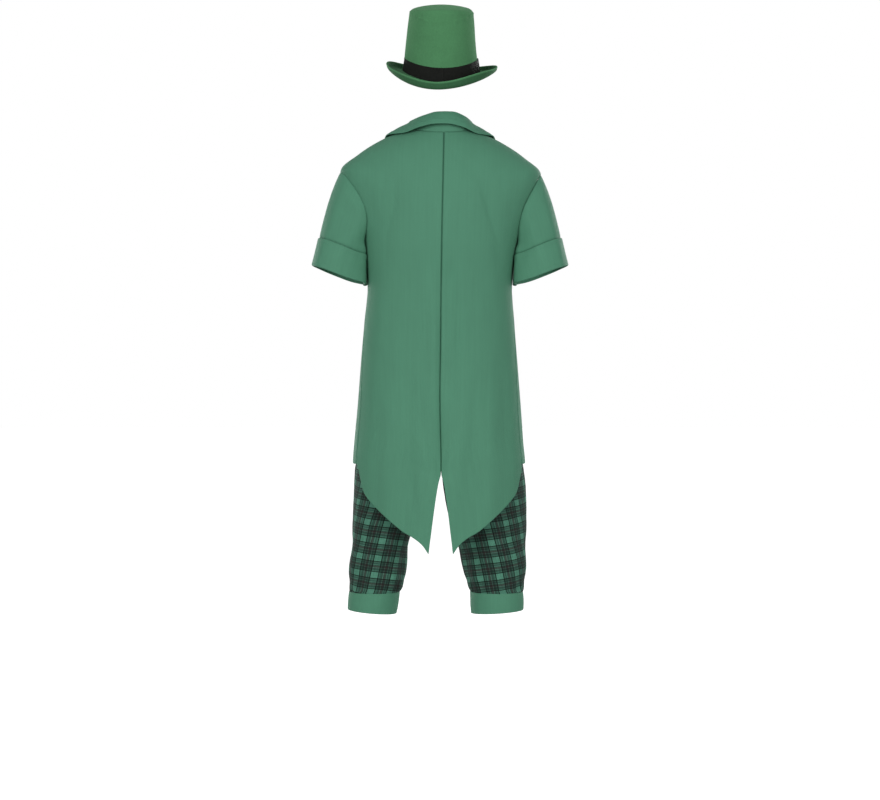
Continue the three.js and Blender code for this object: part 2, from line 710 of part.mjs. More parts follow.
function kneeBand(side) {
  const { top, bottom, rise } = KNEE_BANDS[sideName(side)];
  const middle = ringGrid(2, KNEE_BAND.columns, (v, u) => {
    const angle = u * 2 * Math.PI;
    const out = mix(top[0], bottom[0], v) + mix(top[1], bottom[1], v) * Math.cos(angle);
    const depth = mix(KNEE_BAND.depth[0], KNEE_BAND.depth[1], v);
    const level = mix(KNEE_BAND.top, KNEE_BAND.bottom + rise * Math.cos(angle), v);
    return onSide(side, new THREE.Vector3(out, depth * Math.sin(angle), level));
  });
  return piece(`breeches_knee_band_${sideName(side)}`, wall(middle, KNEE_BAND_WALL, true), COAT_GREEN);
}

// Top hat, in its own upright frame before it is tilted
// angle is 0 at the wearer's right side and 90 at the front.

// sag lowers the base line at the back and front, lean lowers it on the right, and sideDrop lowers the
// top's rim at the sides.
const HAT = { x: 3, y: 0, height: 1755, tilt: 16 * DEGREE, sag: 8.5, lean: 1.8, sideDrop: 5.5 };

const CROWN = table("rise halfWidth halfLength", [
  [0, 92.5, 105],
  [12, 90, 102.5],
  [33, 87, 99.5],
  [80, 82.5, 96],
  [120, 79, 93.5],
  [150.5, 75.5, 91.5],
  [157, 73, 89.5],
  [160.5, 69, 85.5],
]);

const CROWN_TOP = 164;
// The crown's sections are level from this height upwards.
const CROWN_LEVEL_FROM = 110;
const CROWN_ROWS = [0, 16, 37, 80, 120, 148.5, 155.5, 160.5];
// Shares of the top's radius at which the tip has a ring of points.
const TIP_RINGS = [0.94, 0.5];
// The rows between which the crown's side turns into its tip.
const TIP_TURN = { from: 4.5, to: 7 };
const HAT_COLUMNS = 24;
const BAND_WIDTH = 30.5;

// The base line is a saddle, high at the sides; it flattens out towards the top.
function crownPoint(angle, rise, outBy = 0) {
  const value = (name) => read(CROWN, name, rise);
  const base = HAT.sag * Math.cos(2 * angle) - HAT.lean * Math.cos(angle);
  const drop = HAT.sideDrop * Math.cos(angle) ** 2 * ease(CROWN_LEVEL_FROM, CROWN_ROWS.at(-1), rise);
  const x = (value("halfWidth") + outBy) * Math.cos(angle);
  const y = (value("halfLength") + outBy) * Math.sin(angle);
  return new THREE.Vector3(x, y, rise + base * ease(CROWN_LEVEL_FROM, 0, rise) - drop);
}

function hatCrown() {
  const ring = (point) =>
    Array.from({ length: HAT_COLUMNS }, (_, j) => point((j / HAT_COLUMNS) * 2 * Math.PI));
  const shell = (inset) => {
    const sides = CROWN_ROWS.map((rise) => ring((angle) => crownPoint(angle, rise, -inset)));
    const tip = TIP_RINGS.map((share) =>
      ring((angle) => {
        const rim = crownPoint(angle, CROWN_ROWS.at(-1), -inset);
        return new THREE.Vector3(rim.x * share, rim.y * share, mix(CROWN_TOP, rim.z, share ** 2));
      }),
    );
    return [...sides, ...tip];
  };
  const lowered = shell(FELT_WALL).map((row, i) => {
    const depth = FELT_WALL * ease(TIP_TURN.from, TIP_TURN.to, i);
    return row.map((p) => p.clone().setZ(p.z - depth));
  });
  const poles = [new THREE.Vector3(0, 0, CROWN_TOP), new THREE.Vector3(0, 0, CROWN_TOP - FELT_WALL)];
  return piece("hat_crown", solidBetween(shell(0), lowered, true, poles), FELT_GREEN);
}

// The brim's section from the crown to its curled rim, at the back and front, the left and the right:
// how far out and up each place lies.
const BRIM = table("place endOut endUp leftOut leftUp rightOut rightUp", [
  [0, 0, 0, 0, 0, 0, 0],
  [1, 11, -5.5, 10, 0, 11, -0.8],
  [2, 23, -9.5, 20, 1, 21, -0.5],
  [3, 34.5, -11, 29, 3.5, 32, 1],
  [4, 42, -5, 35.5, 9, 39.5, 5],
  [5, 43.5, 6, 37.5, 17, 41.5, 12],
]);
// How far the brim's edge dips at the back left, and rises at the back right.
const BRIM_TWIST = 5;
// How much further the rim curls up between the back and the sides.
const BRIM_CURL = 6;
const BRIM_ROWS = 5;
const BRIM_COLUMNS = 32;

function brimPoint(angle, place) {
  const sides = (1 + Math.cos(2 * angle)) / 2;
  const towards = ease(-0.35, 0.35, Math.cos(angle));
  const [out, up] = ["Out", "Up"].map((way) => {
    const value = (name) => read(BRIM, name + way, place);
    return mix(value("end"), mix(value("left"), value("right"), towards), sides);
  });
  const p = crownPoint(angle, 0, FELT_WALL / 2 + SEAM_GAP + out);
  const behind = (1 - Math.sin(angle)) / 2;
  const twist = -Math.sin(2 * angle) * behind * (place / BRIM_ROWS);
  const curl = Math.sin(2 * angle) ** 2 * behind ** 2 * ease(3, BRIM_ROWS, place);
  p.z += FELT_WALL / 2 + up + BRIM_TWIST * twist + BRIM_CURL * curl;
  return p;
}

function hatBrim() {
  const middle = ringGrid(BRIM_ROWS, BRIM_COLUMNS, (v, u) => brimPoint(u * 2 * Math.PI, v * BRIM_ROWS));
  return piece("hat_brim", wall(middle, FELT_WALL, true), FELT_GREEN);
}

function hatBand() {
  const lift = FELT_WALL + SEAM_GAP;
  const middle = ringGrid(2, HAT_COLUMNS, (v, u) => {
    const angle = u * 2 * Math.PI;
    return crownPoint(angle, lift + BAND_WIDTH * v, RIBBON_WALL / 2 + 2 * SEAM_GAP);
  });
  return piece("hat_band", wall(middle, RIBBON_WALL, true), RIBBON_BLACK);
}

function hat() {
  const group = new THREE.Group();
  group.position.set(HAT.x, HAT.y, HAT.height);
  group.rotation.x = HAT.tilt;
  group.add(hatCrown(), hatBrim(), hatBand());
  return group;
}

// The whole costume

const costume = new THREE.Group();
costume.position.z = -NECK_HEIGHT;

for (const side of [LEFT, RIGHT]) {
  costume.add(backPanel(side), frontPanel(side), lapel(side), sleeve(side), cuff(side));
  costume.add(legPanel(side, false), legPanel(side, true), kneeBand(side));
}
costume.add(collar(), waistband(), hat());
BUTTON.heights.forEach((height, i) => costume.add(button(height, i + 1)));

export default costume;
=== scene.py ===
import math

import bmesh
import bpy
import numpy as np
from mathutils import Matrix, Vector


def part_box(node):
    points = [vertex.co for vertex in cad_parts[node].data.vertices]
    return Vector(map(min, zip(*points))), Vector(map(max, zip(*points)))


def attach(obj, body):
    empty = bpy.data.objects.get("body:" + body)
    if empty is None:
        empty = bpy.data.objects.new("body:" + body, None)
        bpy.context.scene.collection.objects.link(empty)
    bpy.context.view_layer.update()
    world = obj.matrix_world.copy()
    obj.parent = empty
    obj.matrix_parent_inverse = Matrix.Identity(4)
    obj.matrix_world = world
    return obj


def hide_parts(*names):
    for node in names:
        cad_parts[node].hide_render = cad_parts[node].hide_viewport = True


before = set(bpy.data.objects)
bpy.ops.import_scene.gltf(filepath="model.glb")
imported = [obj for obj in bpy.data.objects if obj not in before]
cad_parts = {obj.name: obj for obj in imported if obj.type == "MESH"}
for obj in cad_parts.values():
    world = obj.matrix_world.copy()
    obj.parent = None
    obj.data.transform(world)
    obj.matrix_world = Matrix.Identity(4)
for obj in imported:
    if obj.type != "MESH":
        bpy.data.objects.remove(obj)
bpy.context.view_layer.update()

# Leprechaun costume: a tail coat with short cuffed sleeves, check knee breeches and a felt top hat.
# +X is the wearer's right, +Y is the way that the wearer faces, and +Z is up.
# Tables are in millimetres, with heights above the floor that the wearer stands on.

MM = 0.001
NECK_HEIGHT = 1600
RIGHT, LEFT = 1, -1
SIDE_NAMES = {RIGHT: "right", LEFT: "left"}

COAT_WALL = 1.1
COLLAR_WALL = 1.7
CUFF_WALL = 1.7
BREECHES_WALL = 1.0
BAND_WALL = 1.8
FELT_WALL = 2.6
RIBBON_WALL = 0.7


# Numbers and short tables

def mix(a, b, f):
    return a + (b - a) * f


def ease(start, stop, value):
    f = np.clip((value - start) / (stop - start), 0, 1)
    return f * f * (3 - 2 * f)


def bump(value, middle, spread):
    return np.exp(-(((value - middle) / spread) ** 2))


def table(heading, rows):
    """One row for each section, lowest key first, and named columns, the key being the first."""
    return dict(zip(heading.split(), np.array(rows, float).T))


def read(source, name, at):
    """Reads a column between two rows along a smooth curve that never overshoots them."""
    key, value = source[next(iter(source))], source[name]
    rise = np.diff(value) / np.diff(key)
    before, after = rise[:-1], rise[1:]
    same_way = before * after > 0
    total = np.where(same_way, before + after, 1)
    slope = np.r_[rise[0], np.where(same_way, 2 * before * after / total, 0), rise[-1]]
    at = np.asarray(at, float)
    k = np.clip(np.searchsorted(key, at) - 1, 0, len(key) - 2)
    span = key[k + 1] - key[k]
    f = np.clip((at - key[k]) / span, 0, 1)
    lift = span * (slope[k] * f * (1 - f) ** 2 - slope[k + 1] * f * f * (1 - f))
    return mix(value[k], value[k + 1], f * f * (3 - 2 * f)) + lift


def points(x, y, z):
    return np.stack(np.broadcast_arrays(x, y, z), axis=-1).astype(float)


def unit(p):
    return p / np.maximum(np.linalg.norm(p, axis=-1, keepdims=True), 1e-9)


def on_side(side, p):
    return p * np.array([side, 1, 1])


# How far from an edge the closer places lie, in millimetres, and how many times as far as the last of
# them the even places start.
EDGE_STEPS = np.array([0, 0.5, 1.1, 1.8, 2.8, 4.2, 6.5])
EDGE_CLEAR = 1.3


def stations(count, span, start=True, end=True):
    """Even places from 0 to 1 with closer ones beside the ends, where an edge turns in."""
    near = EDGE_STEPS / span
    inner = np.linspace(0, 1, count + 1)
    if start:
        inner = np.r_[near, inner[inner > near[-1] * EDGE_CLEAR]]
    if end:
        inner = np.r_[inner[inner < 1 - near[-1] * EDGE_CLEAR], 1 - near[::-1]]
    return inner


def waves(angle, rows):
    """Waves round a piece. Each row gives how many there are, where they start and how high they are."""
    return sum(height * np.sin(count * angle + start) for count, start, height in rows)


# Cloth walls
# A grid of points is the middle of a wall. Its rows run down and its columns run across.

def grid_normals(grid, closed=False):
    across = np.roll(grid, -1, 1) - np.roll(grid, 1, 1) if closed else np.gradient(grid, axis=1)
    return unit(np.cross(np.gradient(grid, axis=0), across))


def run_along(grid, axis):
    """The way along the cloth from its first row or column."""
    steps = np.linalg.norm(np.diff(grid, axis=axis), axis=-1)
    pad = [(1, 0), (0, 0)] if axis == 0 else [(0, 0), (1, 0)]
    return np.pad(np.cumsum(steps, axis=axis), pad)


def edge_distances(grid):
    down, across = run_along(grid, 0), run_along(grid, 1)
    return {"top": down, "bottom": down[-1:] - down, "start": across, "end": across[:, -1:] - across}


# How sewing shapes the cloth beside an edge. A seam turns in, over the ridge of its two allowances. A
# hem's rim is rounded, and the cloth dips along the line where its fold is stitched down.
SEAM = {"depth": 1.5, "reach": 1.5, "ridge": 0.35, "ridge_end": 13, "ridge_top": 9, "pucker": 0.25}
HEM = {"fold": 14, "dip": 0.35, "dip_reach": 2.2, "rim": 0.4, "rim_reach": 1.2, "pucker": 0.22, "step": 0.8}
# Puckers: the wave's length over 2 pi, how far the seed moves it, and its share of the height.
PUCKERS = [(4.3, 1.0, 0.5), (2.9, 2.3, 0.3), (7.7, 3.1, 0.6)]
PUCKER_REACH = 9


def pucker(distance, along, seed, height):
    """Small uneven waves beside a sewn edge."""
    total = sum(np.sin(along / length + seed * turn) * share for length, turn, share in PUCKERS)
    return height * total * np.exp(-distance / PUCKER_REACH)


def seam_form(distance, along, seed):
    ridge = SEAM["ridge"] * ease(SEAM["ridge_end"], SEAM["ridge_top"], distance)
    turned = -SEAM["depth"] * bump(distance, 0, SEAM["reach"]) + ridge
    return turned + pucker(distance, along, seed, SEAM["pucker"])


def hem_form(distance, along, seed):
    rim = HEM["rim"] * bump(distance, 0, HEM["rim_reach"])
    line = -HEM["dip"] * bump(distance, HEM["fold"], HEM["dip_reach"]) - rim
    return line + pucker(np.abs(distance - HEM["fold"]), along, seed, HEM["pucker"])


def shared_form(grid, edges, seed):
    """How far the edges move a grid, with the painted shade along its seams and where it is doubled by a hem.
    """
    far = edge_distances(grid)
    moved = np.zeros(grid.shape[:2])
    painted_shade, in_hem = moved.copy(), moved.copy()
    for number, (name, (kind, where)) in enumerate(edges.items()):
        distance = far[name]
        along = far["start"] if name in ("top", "bottom") else far["top"]
        form = seam_form if kind == "seam" else hem_form
        moved += where * form(distance, along, seed + 5 * number)
        # A seam's groove gets painted shade, as strong as the seam is drawn in.
        if kind == "seam":
            painted_shade = np.maximum(painted_shade, where * bump(distance, 0, SEAM["reach"]))
        else:
            doubled = ease(HEM["fold"] + HEM["step"], HEM["fold"] - HEM["step"], distance)
            in_hem = np.maximum(in_hem, where * doubled)
    return moved, painted_shade, in_hem


def new_object(name, data):
    made = bpy.data.objects.new(name, data)
    bpy.context.scene.collection.objects.link(made)
    return made


def metres(p):
    """From the tables' millimetres, with heights above the floor, to the frame's metres."""
    return (np.asarray(p) - [0, 0, NECK_HEIGHT]) * MM


def mesh_object(name, positions, faces, material, loops, painted_shade):
    """A smooth mesh, with a place on the cloth for each face corner and the strength of its painted shade for
    each point.
    """
    mesh = bpy.data.meshes.new(name)
    mesh.from_pydata(metres(positions).tolist(), [], faces.tolist())
    mesh.uv_layers.new(name="cloth").data.foreach_set("uv", (loops * MM).ravel())
    mesh.attributes.new("painted_shade", "FLOAT", "POINT").data.foreach_set("value", painted_shade)
    mesh.polygons.foreach_set("use_smooth", [True] * len(mesh.polygons))
    mesh.materials.append(material)
    mesh.update()
    return new_object(name, mesh)


# How much thicker a wall is inwards where a hem doubles it, and how far its rim stands out in halves
# of the wall.
HEM_DOUBLING = 0.8
RIM_ROUNDING = 0.9


def wall_object(name, grid, outward, thickness, material, edges=None, closed=False, seed=1.0,
                lean=0.0, grain=0.5, relief=None, level_rows=False, pressed=None):
    """A thin cloth wall with rounded rims. outward is 1 where rows x columns point out, and -1 if not.

    edges maps an edge to ("seam" or "hem", where along it). lean turns the grain of the cloth, in
    radians, and grain is the column that the grain follows. relief adds a height at each point,
    level_rows keeps the crosswise threads level, and the last argument adds painted shade at each point.
    """
    rows, columns = grid.shape[:2]
    moved, painted_shade, in_hem = shared_form(grid, edges or {}, seed)
    if relief is not None:
        moved = moved + relief
    # More painted shade where the caller gives it: above a cuff and over the brim.
    if pressed is not None:
        painted_shade = np.maximum(painted_shade, pressed)
    normal = outward * grid_normals(grid, closed)
    outer = grid + normal * (thickness / 2 + moved)[..., None]
    inner = grid + normal * (moved - thickness * (0.5 + HEM_DOUBLING * in_hem))[..., None]

    wide = columns if closed else columns - 1
    i, j = (a.ravel() for a in np.meshgrid(np.arange(rows - 1), np.arange(wide), indexing="ij"))
    corners = np.array([(i, j), (i + 1, j), (i + 1, j + 1), (i, j + 1)])[::outward].transpose(2, 0, 1)
    count = rows * columns
    quads = corners[..., 0] * columns + corners[..., 1] % columns
    faces = [quads, quads[:, ::-1] + count]
    places = [corners, corners[:, ::-1]]

    ring = rim_loop(rows, columns, closed)
    middle_face, outer_face, inner_face = (face.reshape(-1, 3) for face in (grid, outer, inner))
    rim_points, start = [], 2 * count
    for loop, steps in ring:
        loop = np.array(loop)
        at, inside = (place @ [columns, 1] for place in (loop, loop + steps))
        back = unit(middle_face[at] - middle_face[inside])
        half = np.linalg.norm(outer_face[at] - inner_face[at], axis=1, keepdims=True) / 2
        rim_points.append((outer_face[at] + inner_face[at]) / 2 + back * half * RIM_ROUNDING)
        rim = start + np.arange(len(loop))
        at_next, rim_next, loop_next = (np.roll(line, -1, 0) for line in (at, rim, loop))
        pair = np.stack([loop, loop, loop_next, loop_next], 1)
        for quad in ([at, rim, rim_next, at_next], [rim, at + count, at_next + count, rim_next]):
            faces.append(np.stack(quad, 1)[:, ::outward])
            places.append(pair[:, ::outward])
        start += len(loop)

    across, down = run_along(grid, 1), run_along(grid, 0)
    if closed:
        last = np.linalg.norm(grid[:, 0] - grid[:, -1], axis=1, keepdims=True)
        across = np.c_[across, across[:, -1:] + last]
        down = np.c_[down, down[:, :1]]
    middle = int(grain * (across.shape[1] - 1))
    u, v = across - across[:, middle : middle + 1], down
    if level_rows:
        v = np.broadcast_to(down[:, middle : middle + 1], down.shape)
    cosine, sine = math.cos(lean), math.sin(lean)
    turned = np.stack([u * cosine - v * sine, u * sine + v * cosine], -1)
    loops = np.concatenate([turned[p[..., 0], p[..., 1]].reshape(-1, 2) for p in places])

    positions = np.concatenate([outer_face, inner_face, *rim_points])
    # The rims carry the same painted shade as the grid's edge.
    pressed_rims = [painted_shade[tuple(np.array(loop).T)] for loop, _ in ring]
    painted_shade = np.concatenate([painted_shade.ravel(), painted_shade.ravel(), *pressed_rims])
    made = mesh_object(name, positions, np.concatenate(faces), material, loops, painted_shade)
    return made, outer, edge_distances(grid)


def rim_loop(rows, columns, closed):
    """The grid's rim, anticlockwise against its faces, with the step from each place into the grid."""
    if closed:
        top = [((0, j), (1, 0)) for j in reversed(range(columns))]
        bottom = [((rows - 1, j), (-1, 0)) for j in range(columns)]
        return [tuple(zip(*top)), tuple(zip(*bottom))]
    around = [((i, 0), (0, 1)) for i in reversed(range(1, rows))]
    around += [((0, j), (1, 0)) for j in range(columns - 1)]
    around += [((i, columns - 1), (0, -1)) for i in range(rows - 1)]
    around += [((rows - 1, j), (-1, 0)) for j in reversed(range(1, columns))]
    return [tuple(zip(*around[::-1]))]


# Materials

def linear(code):
    """sRGB hex to linear colour."""
    channels = [int(code[k : k + 2], 16) / 255 for k in (1, 3, 5)]
    return [*(c / 12.92 if c <= 0.04045 else ((c + 0.055) / 1.055) ** 2.4 for c in channels), 1.0]


def add(tree, kind, inputs=None, **settings):
    """Adds a node with its settings. inputs gives each socket a value or links it to an output."""
    made = tree.nodes.new(kind)
    for name, value in settings.items():
        setattr(made, name, value)
    for key, value in (inputs or {}).items():
        if isinstance(value, bpy.types.NodeSocket):
            tree.links.new(value, made.inputs[key])
        else:
            made.inputs[key].default_value = value
    return made


def empty_tree(owner):
    owner.use_nodes = True
    owner.node_tree.nodes.clear()
    return owner.node_tree


def new_material(name, shader_inputs):
    material = bpy.data.materials.new(name)
    tree = empty_tree(material)
    shader = add(tree, "ShaderNodeBsdfPrincipled", shader_inputs)
    add(tree, "ShaderNodeOutputMaterial", {"Surface": shader.outputs[0]})
    return material, tree, shader


def cloth_place(tree, across_mm, down_mm):
    """The place on the cloth, counted in lengths of across_mm and down_mm."""
    place = add(tree, "ShaderNodeUVMap", uv_map="cloth").outputs[0]
    scale = (1 / (across_mm * MM), 1 / (down_mm * MM), 1)
    return add(tree, "ShaderNodeMapping", {"Vector": place, "Scale": scale}).outputs[0]


def solid_place(tree, *sizes_mm):
    """The place in the solid, counted in grains of a size along x, y and z."""
    place = add(tree, "ShaderNodeTexCoord").outputs["Object"]
    scale = [1 / (size * MM) for size in sizes_mm]
    return add(tree, "ShaderNodeMapping", {"Vector": place, "Scale": scale}).outputs[0]


def thread_wave(tree, pitch_mm, slant):
    """Waves with a thread's pitch that run down the cloth, leaning across it by slant, from 0 to 1."""
    parts = add(tree, "ShaderNodeSeparateXYZ", {0: cloth_place(tree, pitch_mm, pitch_mm)}).outputs
    place = add(tree, "ShaderNodeMath", {0: parts[1], 1: slant, 2: parts[0]}, operation="MULTIPLY_ADD")
    turn = add(tree, "ShaderNodeMath", {0: place.outputs[0], 1: 2 * math.pi}, operation="MULTIPLY")
    wave = add(tree, "ShaderNodeMath", {0: turn.outputs[0]}, operation="SINE")
    halved = {0: wave.outputs[0], 1: 0.5, 2: 0.5}
    return add(tree, "ShaderNodeMath", halved, operation="MULTIPLY_ADD").outputs[0]


def shade(tree, colour, factor, strength):
    """Lightens and darkens a colour by a factor round 0.5."""
    value = add(tree, "ShaderNodeMapRange", {0: factor, 3: 1 - strength, 4: 1 + strength}, clamp=False)
    return add(tree, "ShaderNodeHueSaturation", {"Color": colour, "Value": value.outputs[0]}).outputs[0]


def dyed(tree, code, *shades):
    """A colour that each pair of a factor and a strength lightens and darkens."""
    tone = add(tree, "ShaderNodeRGB").outputs[0]
    tone.default_value = linear(code)
    for factor, strength in shades:
        tone = shade(tree, tone, factor, strength)
    return tone


def noise(tree, place, detail=2.0):
    """Noise from 0 to 1 at a place that is already counted in lengths of its grain."""
    return add(tree, "ShaderNodeTexNoise", {"Vector": place, "Scale": 1.0, "Detail": detail}).outputs[0]


def relief(tree, shader, height, depth_mm, strength=1.0):
    made = add(tree, "ShaderNodeBump", {"Strength": strength, "Distance": depth_mm * MM, "Height": height})
    tree.links.new(made.outputs[0], shader.inputs["Normal"])


def pressed_seams(tree, shader, tone, shade_colour, amount):
    """Painted shade: a deeper colour along the seams and wherever else the mesh asks for it."""
    seam = add(tree, "ShaderNodeAttribute", attribute_name="painted_shade").outputs["Fac"]
    factor = add(tree, "ShaderNodeMath", {0: seam, 1: amount}, operation="MULTIPLY").outputs[0]
    mixed = add(tree, "ShaderNodeMix", {0: factor, 6: tone, 7: linear(shade_colour)}, data_type="RGBA")
    tree.links.new(mixed.outputs[2], shader.inputs["Base Color"])


# Brushed polyester suiting: a fine twill with a soft nap. It gives an even, slightly cool green with
# little gloss, faint streaks along the threads, and painted shade along the seams and above the cuffs.
# The twill's real pitch is 0.5 mm, and it is drawn at 1.3 mm so that a near view shows it.
TWILL_PITCH = 1.3


def suiting(name, colour, shade_colour):
    material, tree, shader = new_material(name, {
        "Roughness": 0.7, "Sheen Weight": 0.12, "Sheen Roughness": 0.45, "Sheen Tint": linear("#A9CDBB"),
        "Specular IOR Level": 0.25})
    twill = thread_wave(tree, TWILL_PITCH, 1.0)
    streaks = noise(tree, cloth_place(tree, 5, 150), 3.0)
    clouds = noise(tree, cloth_place(tree, 90, 130))
    tone = dyed(tree, colour, (streaks, 0.07), (clouds, 0.06), (twill, 0.03))
    # Painted shade along the seams and above the cuffs.
    pressed_seams(tree, shader, tone, shade_colour, 0.5)
    height = add(tree, "ShaderNodeMath", {0: twill, 1: 0.4, 2: streaks}, operation="MULTIPLY_ADD")
    relief(tree, shader, height.outputs[0], 0.25)
    return material


# Check flannel in a traditional tartan set: green squares inside black lines, on dark ground with a
# brown tinge. Warp and weft have the same stripes and cross in a twill, so a square is bright only
# where two green stripes meet. Each stripe is the share of the ground's colour that it lets through.
CHECK_GROUND = "#548C76"
CHECK_STRIPES = [
    ("#FFFFFF", 16.5),
    ("#3C363A", 2.2),
    ("#C6C0C0", 4.2),
    ("#A0A2A8", 3.0),
    ("#F4E8EA", 1.9),
    ("#A89EA2", 2.6),
    ("#C08C96", 4.4),
    ("#F0E2E6", 1.7),
    ("#AC949C", 3.0),
    ("#98A0A0", 2.6),
    ("#C6C0C2", 3.8),
    ("#3C363A", 2.2),
]
CHECK_ACROSS = 49.0
CHECK_DOWN = 42.0
CHECK_TWILL = 1.5
CHECK_START = {"across": 0.32, "down": 0.1}


def check_stripes(tree, place, offset):
    """The set's stripes along one way of the cloth. place counts repeats."""
    moved = add(tree, "ShaderNodeMath", {0: place, 1: offset}, operation="ADD").outputs[0]
    share = add(tree, "ShaderNodeMath", {0: moved}, operation="FRACT").outputs[0]
    ramp = add(tree, "ShaderNodeValToRGB", {"Fac": share})
    ramp.color_ramp.interpolation = "CONSTANT"
    stops = ramp.color_ramp.elements
    whole = sum(width for _, width in CHECK_STRIPES)
    start = 0.0
    for number, (colour, width) in enumerate(CHECK_STRIPES):
        stop = stops[number] if number < len(stops) else stops.new(start / whole)
        stop.position = start / whole
        stop.color = linear(colour)
        start += width
    return ramp.outputs[0]


def check_cloth():
    material, tree, shader = new_material("check_flannel", {
        "Roughness": 0.85, "Sheen Weight": 0.1, "Sheen Roughness": 0.6, "Sheen Tint": linear("#8FA89E"),
        "Specular IOR Level": 0.2})
    place = cloth_place(tree, CHECK_ACROSS, CHECK_DOWN)
    waver = noise(tree, cloth_place(tree, 60, 45), 1.0)
    bend = add(tree, "ShaderNodeMapRange", {0: waver, 3: -0.03, 4: 0.03}, clamp=False).outputs[0]
    parts = add(tree, "ShaderNodeSeparateXYZ", {0: place}).outputs
    ways = [add(tree, "ShaderNodeMath", {0: part, 1: bend}, operation="ADD").outputs[0] for part in parts[:2]]
    warp = check_stripes(tree, ways[0], CHECK_START["across"])
    weft = check_stripes(tree, ways[1], CHECK_START["down"])
    warp = shade(tree, warp, noise(tree, cloth_place(tree, 1.6, 30)), 0.5)
    weft = shade(tree, weft, noise(tree, cloth_place(tree, 30, 1.6)), 0.5)
    both = add(tree, "ShaderNodeMix", {0: 1.0, 6: warp, 7: weft}, data_type="RGBA", blend_type="MULTIPLY")
    crossed = add(tree, "ShaderNodeMix", {0: 1.0, 6: both.outputs[2], 7: linear(CHECK_GROUND)},
                  data_type="RGBA", blend_type="MULTIPLY").outputs[2]
    twill = thread_wave(tree, CHECK_TWILL, 1.0)
    tone = shade(tree, crossed, noise(tree, cloth_place(tree, 40, 50)), 0.16)
    # Painted shade along the seams, almost black.
    pressed_seams(tree, shader, tone, "#0D1512", 0.7)
    relief(tree, shader, twill, 0.3)
    return material


# Pressed wool felt: short matted fibres and no threads. It gives a soft, dry green with a fine mottle,
# a fuzzy rim of light, faint dents where it was handled, and painted shade over the brim inside its rim.
def wool_felt():
    material, tree, shader = new_material("wool_felt", {
        "Roughness": 0.92, "Sheen Weight": 0.25, "Sheen Roughness": 0.55, "Sheen Tint": linear("#8FC39A"),
        "Specular IOR Level": 0.15})
    grains = ((1.1, 4.0), (5, 2.0), (38, 1.0))
    fibres, matting, dents = (noise(tree, solid_place(tree, *[size] * 3), detail) for size, detail in grains)
    tone = dyed(tree, "#4E865B", (fibres, 0.14), (matting, 0.1), (dents, 0.08))
    # Painted shade over the brim inside its rim.
    pressed_seams(tree, shader, tone, "#23492F", 0.55)
    height = add(tree, "ShaderNodeMath", {0: matting, 1: 1.2, 2: fibres}, operation="MULTIPLY_ADD")
    relief(tree, shader, height.outputs[0], 0.5)
    return material


# Grosgrain ribbon in black polyester: close ribs across it, which give a low, even gloss, and painted shade
# where its ends lap.
RIB_PITCH = 1.2


def grosgrain():
    material, tree, shader = new_material("black_grosgrain", {"Roughness": 0.72, "Specular IOR Level": 0.2})
    ribs = thread_wave(tree, RIB_PITCH, 0.0)
    tone = dyed(tree, "#141613", (ribs, 0.25), (noise(tree, cloth_place(tree, 30, 12)), 0.25))
    # Painted shade where the ribbon's ends lap.
    pressed_seams(tree, shader, tone, "#070807", 0.6)
    relief(tree, shader, ribs, 0.3)
    return material


# Polyester sewing thread, twisted from two plies. It gives small bright dashes with a soft gloss.
PLY_PITCH = 0.625


def sewing_thread(name, colour):
    material, tree, shader = new_material(name, {"Roughness": 0.45, "Sheen Weight": 0.2})
    plies = noise(tree, solid_place(tree, PLY_PITCH, PLY_PITCH, PLY_PITCH))
    tree.links.new(dyed(tree, colour, (plies, 0.2)), shader.inputs["Base Color"])
    return material


# Moulded polyester button: nearly black, polished, with faint flow marks from the mould.
def button_plastic():
    material, tree, shader = new_material("moulded_button_plastic", {
        "Roughness": 0.28, "Coat Weight": 0.2, "Coat Roughness": 0.15})
    flow = noise(tree, solid_place(tree, 6.25, 6.25, 2.38), 3.0)
    tree.links.new(dyed(tree, "#1B1B1C", (flow, 0.3)), shader.inputs["Base Color"])
    relief(tree, shader, flow, 0.05)
    return material


# 2A5A45 is the colour of the suiting's painted shade.
SUITING = suiting("brushed_suiting", "#518B70", "#2A5A45")
CHECK = check_cloth()
FELT = wool_felt()
RIBBON = grosgrain()
GREEN_THREAD = sewing_thread("green_thread", "#4C8469")
BLACK_THREAD = sewing_thread("black_thread", "#1B1F1D")
BUTTON_BLACK = button_plastic()


# Every finished wall, with its outer face and the distances from its edges, which the stitching follows.
WALLS = {}


def finish_piece(piece, node):
    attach(piece, "root")
    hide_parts(node)


def sew(name, grid, outward, thickness, cloth, edges=None, **shaping):
    """Makes one piece of the costume from the middle of its wall."""
    WALLS[name] = wall_object(name, grid, outward, thickness, cloth, edges, **shaping)
    finish_piece(WALLS[name][0], name)


# The coat's body
# A level is a line round the body, named by its height at the centre of the back. t runs round it
# from the centre back (0) over the side or the shoulder (1) to the centre front (2).

SEAM_GAP = 0.4
VENT_LEVEL = 791
ARMPIT_LEVEL = 1340
SHOULDER_LEVEL = 1480
NECK_LEVEL = 1605

COAT_CENTRES = table("level back_depth front_depth front_height square shift", [
    [600, 147, 133, 600, 0.72, 1.7],
    [700, 147, 133, 700, 0.72, 2.2],
    [814, 145, 132, 814, 0.74, 2.6],
    [900, 138, 129, 900, 0.8, 1],
    [980, 130, 126, 980, 0.86, 0],
    [1090, 123, 123, 1090, 0.9, 1.5],
    [1240, 124, 122, 1240, 0.88, 3],
    [1340, 130, 120, 1340, 0.82, 4.2],
    [1410, 131, 113, 1394, 0.78, 5.4],
    [1480, 124, 100, 1437, 0.82, 7],
    [1530, 113, 84, 1478, 0.9, 8],
    [1570, 100, 63, 1516, 1, 9],
    [1605, 84, 38, 1560, 1, 9.4],
])

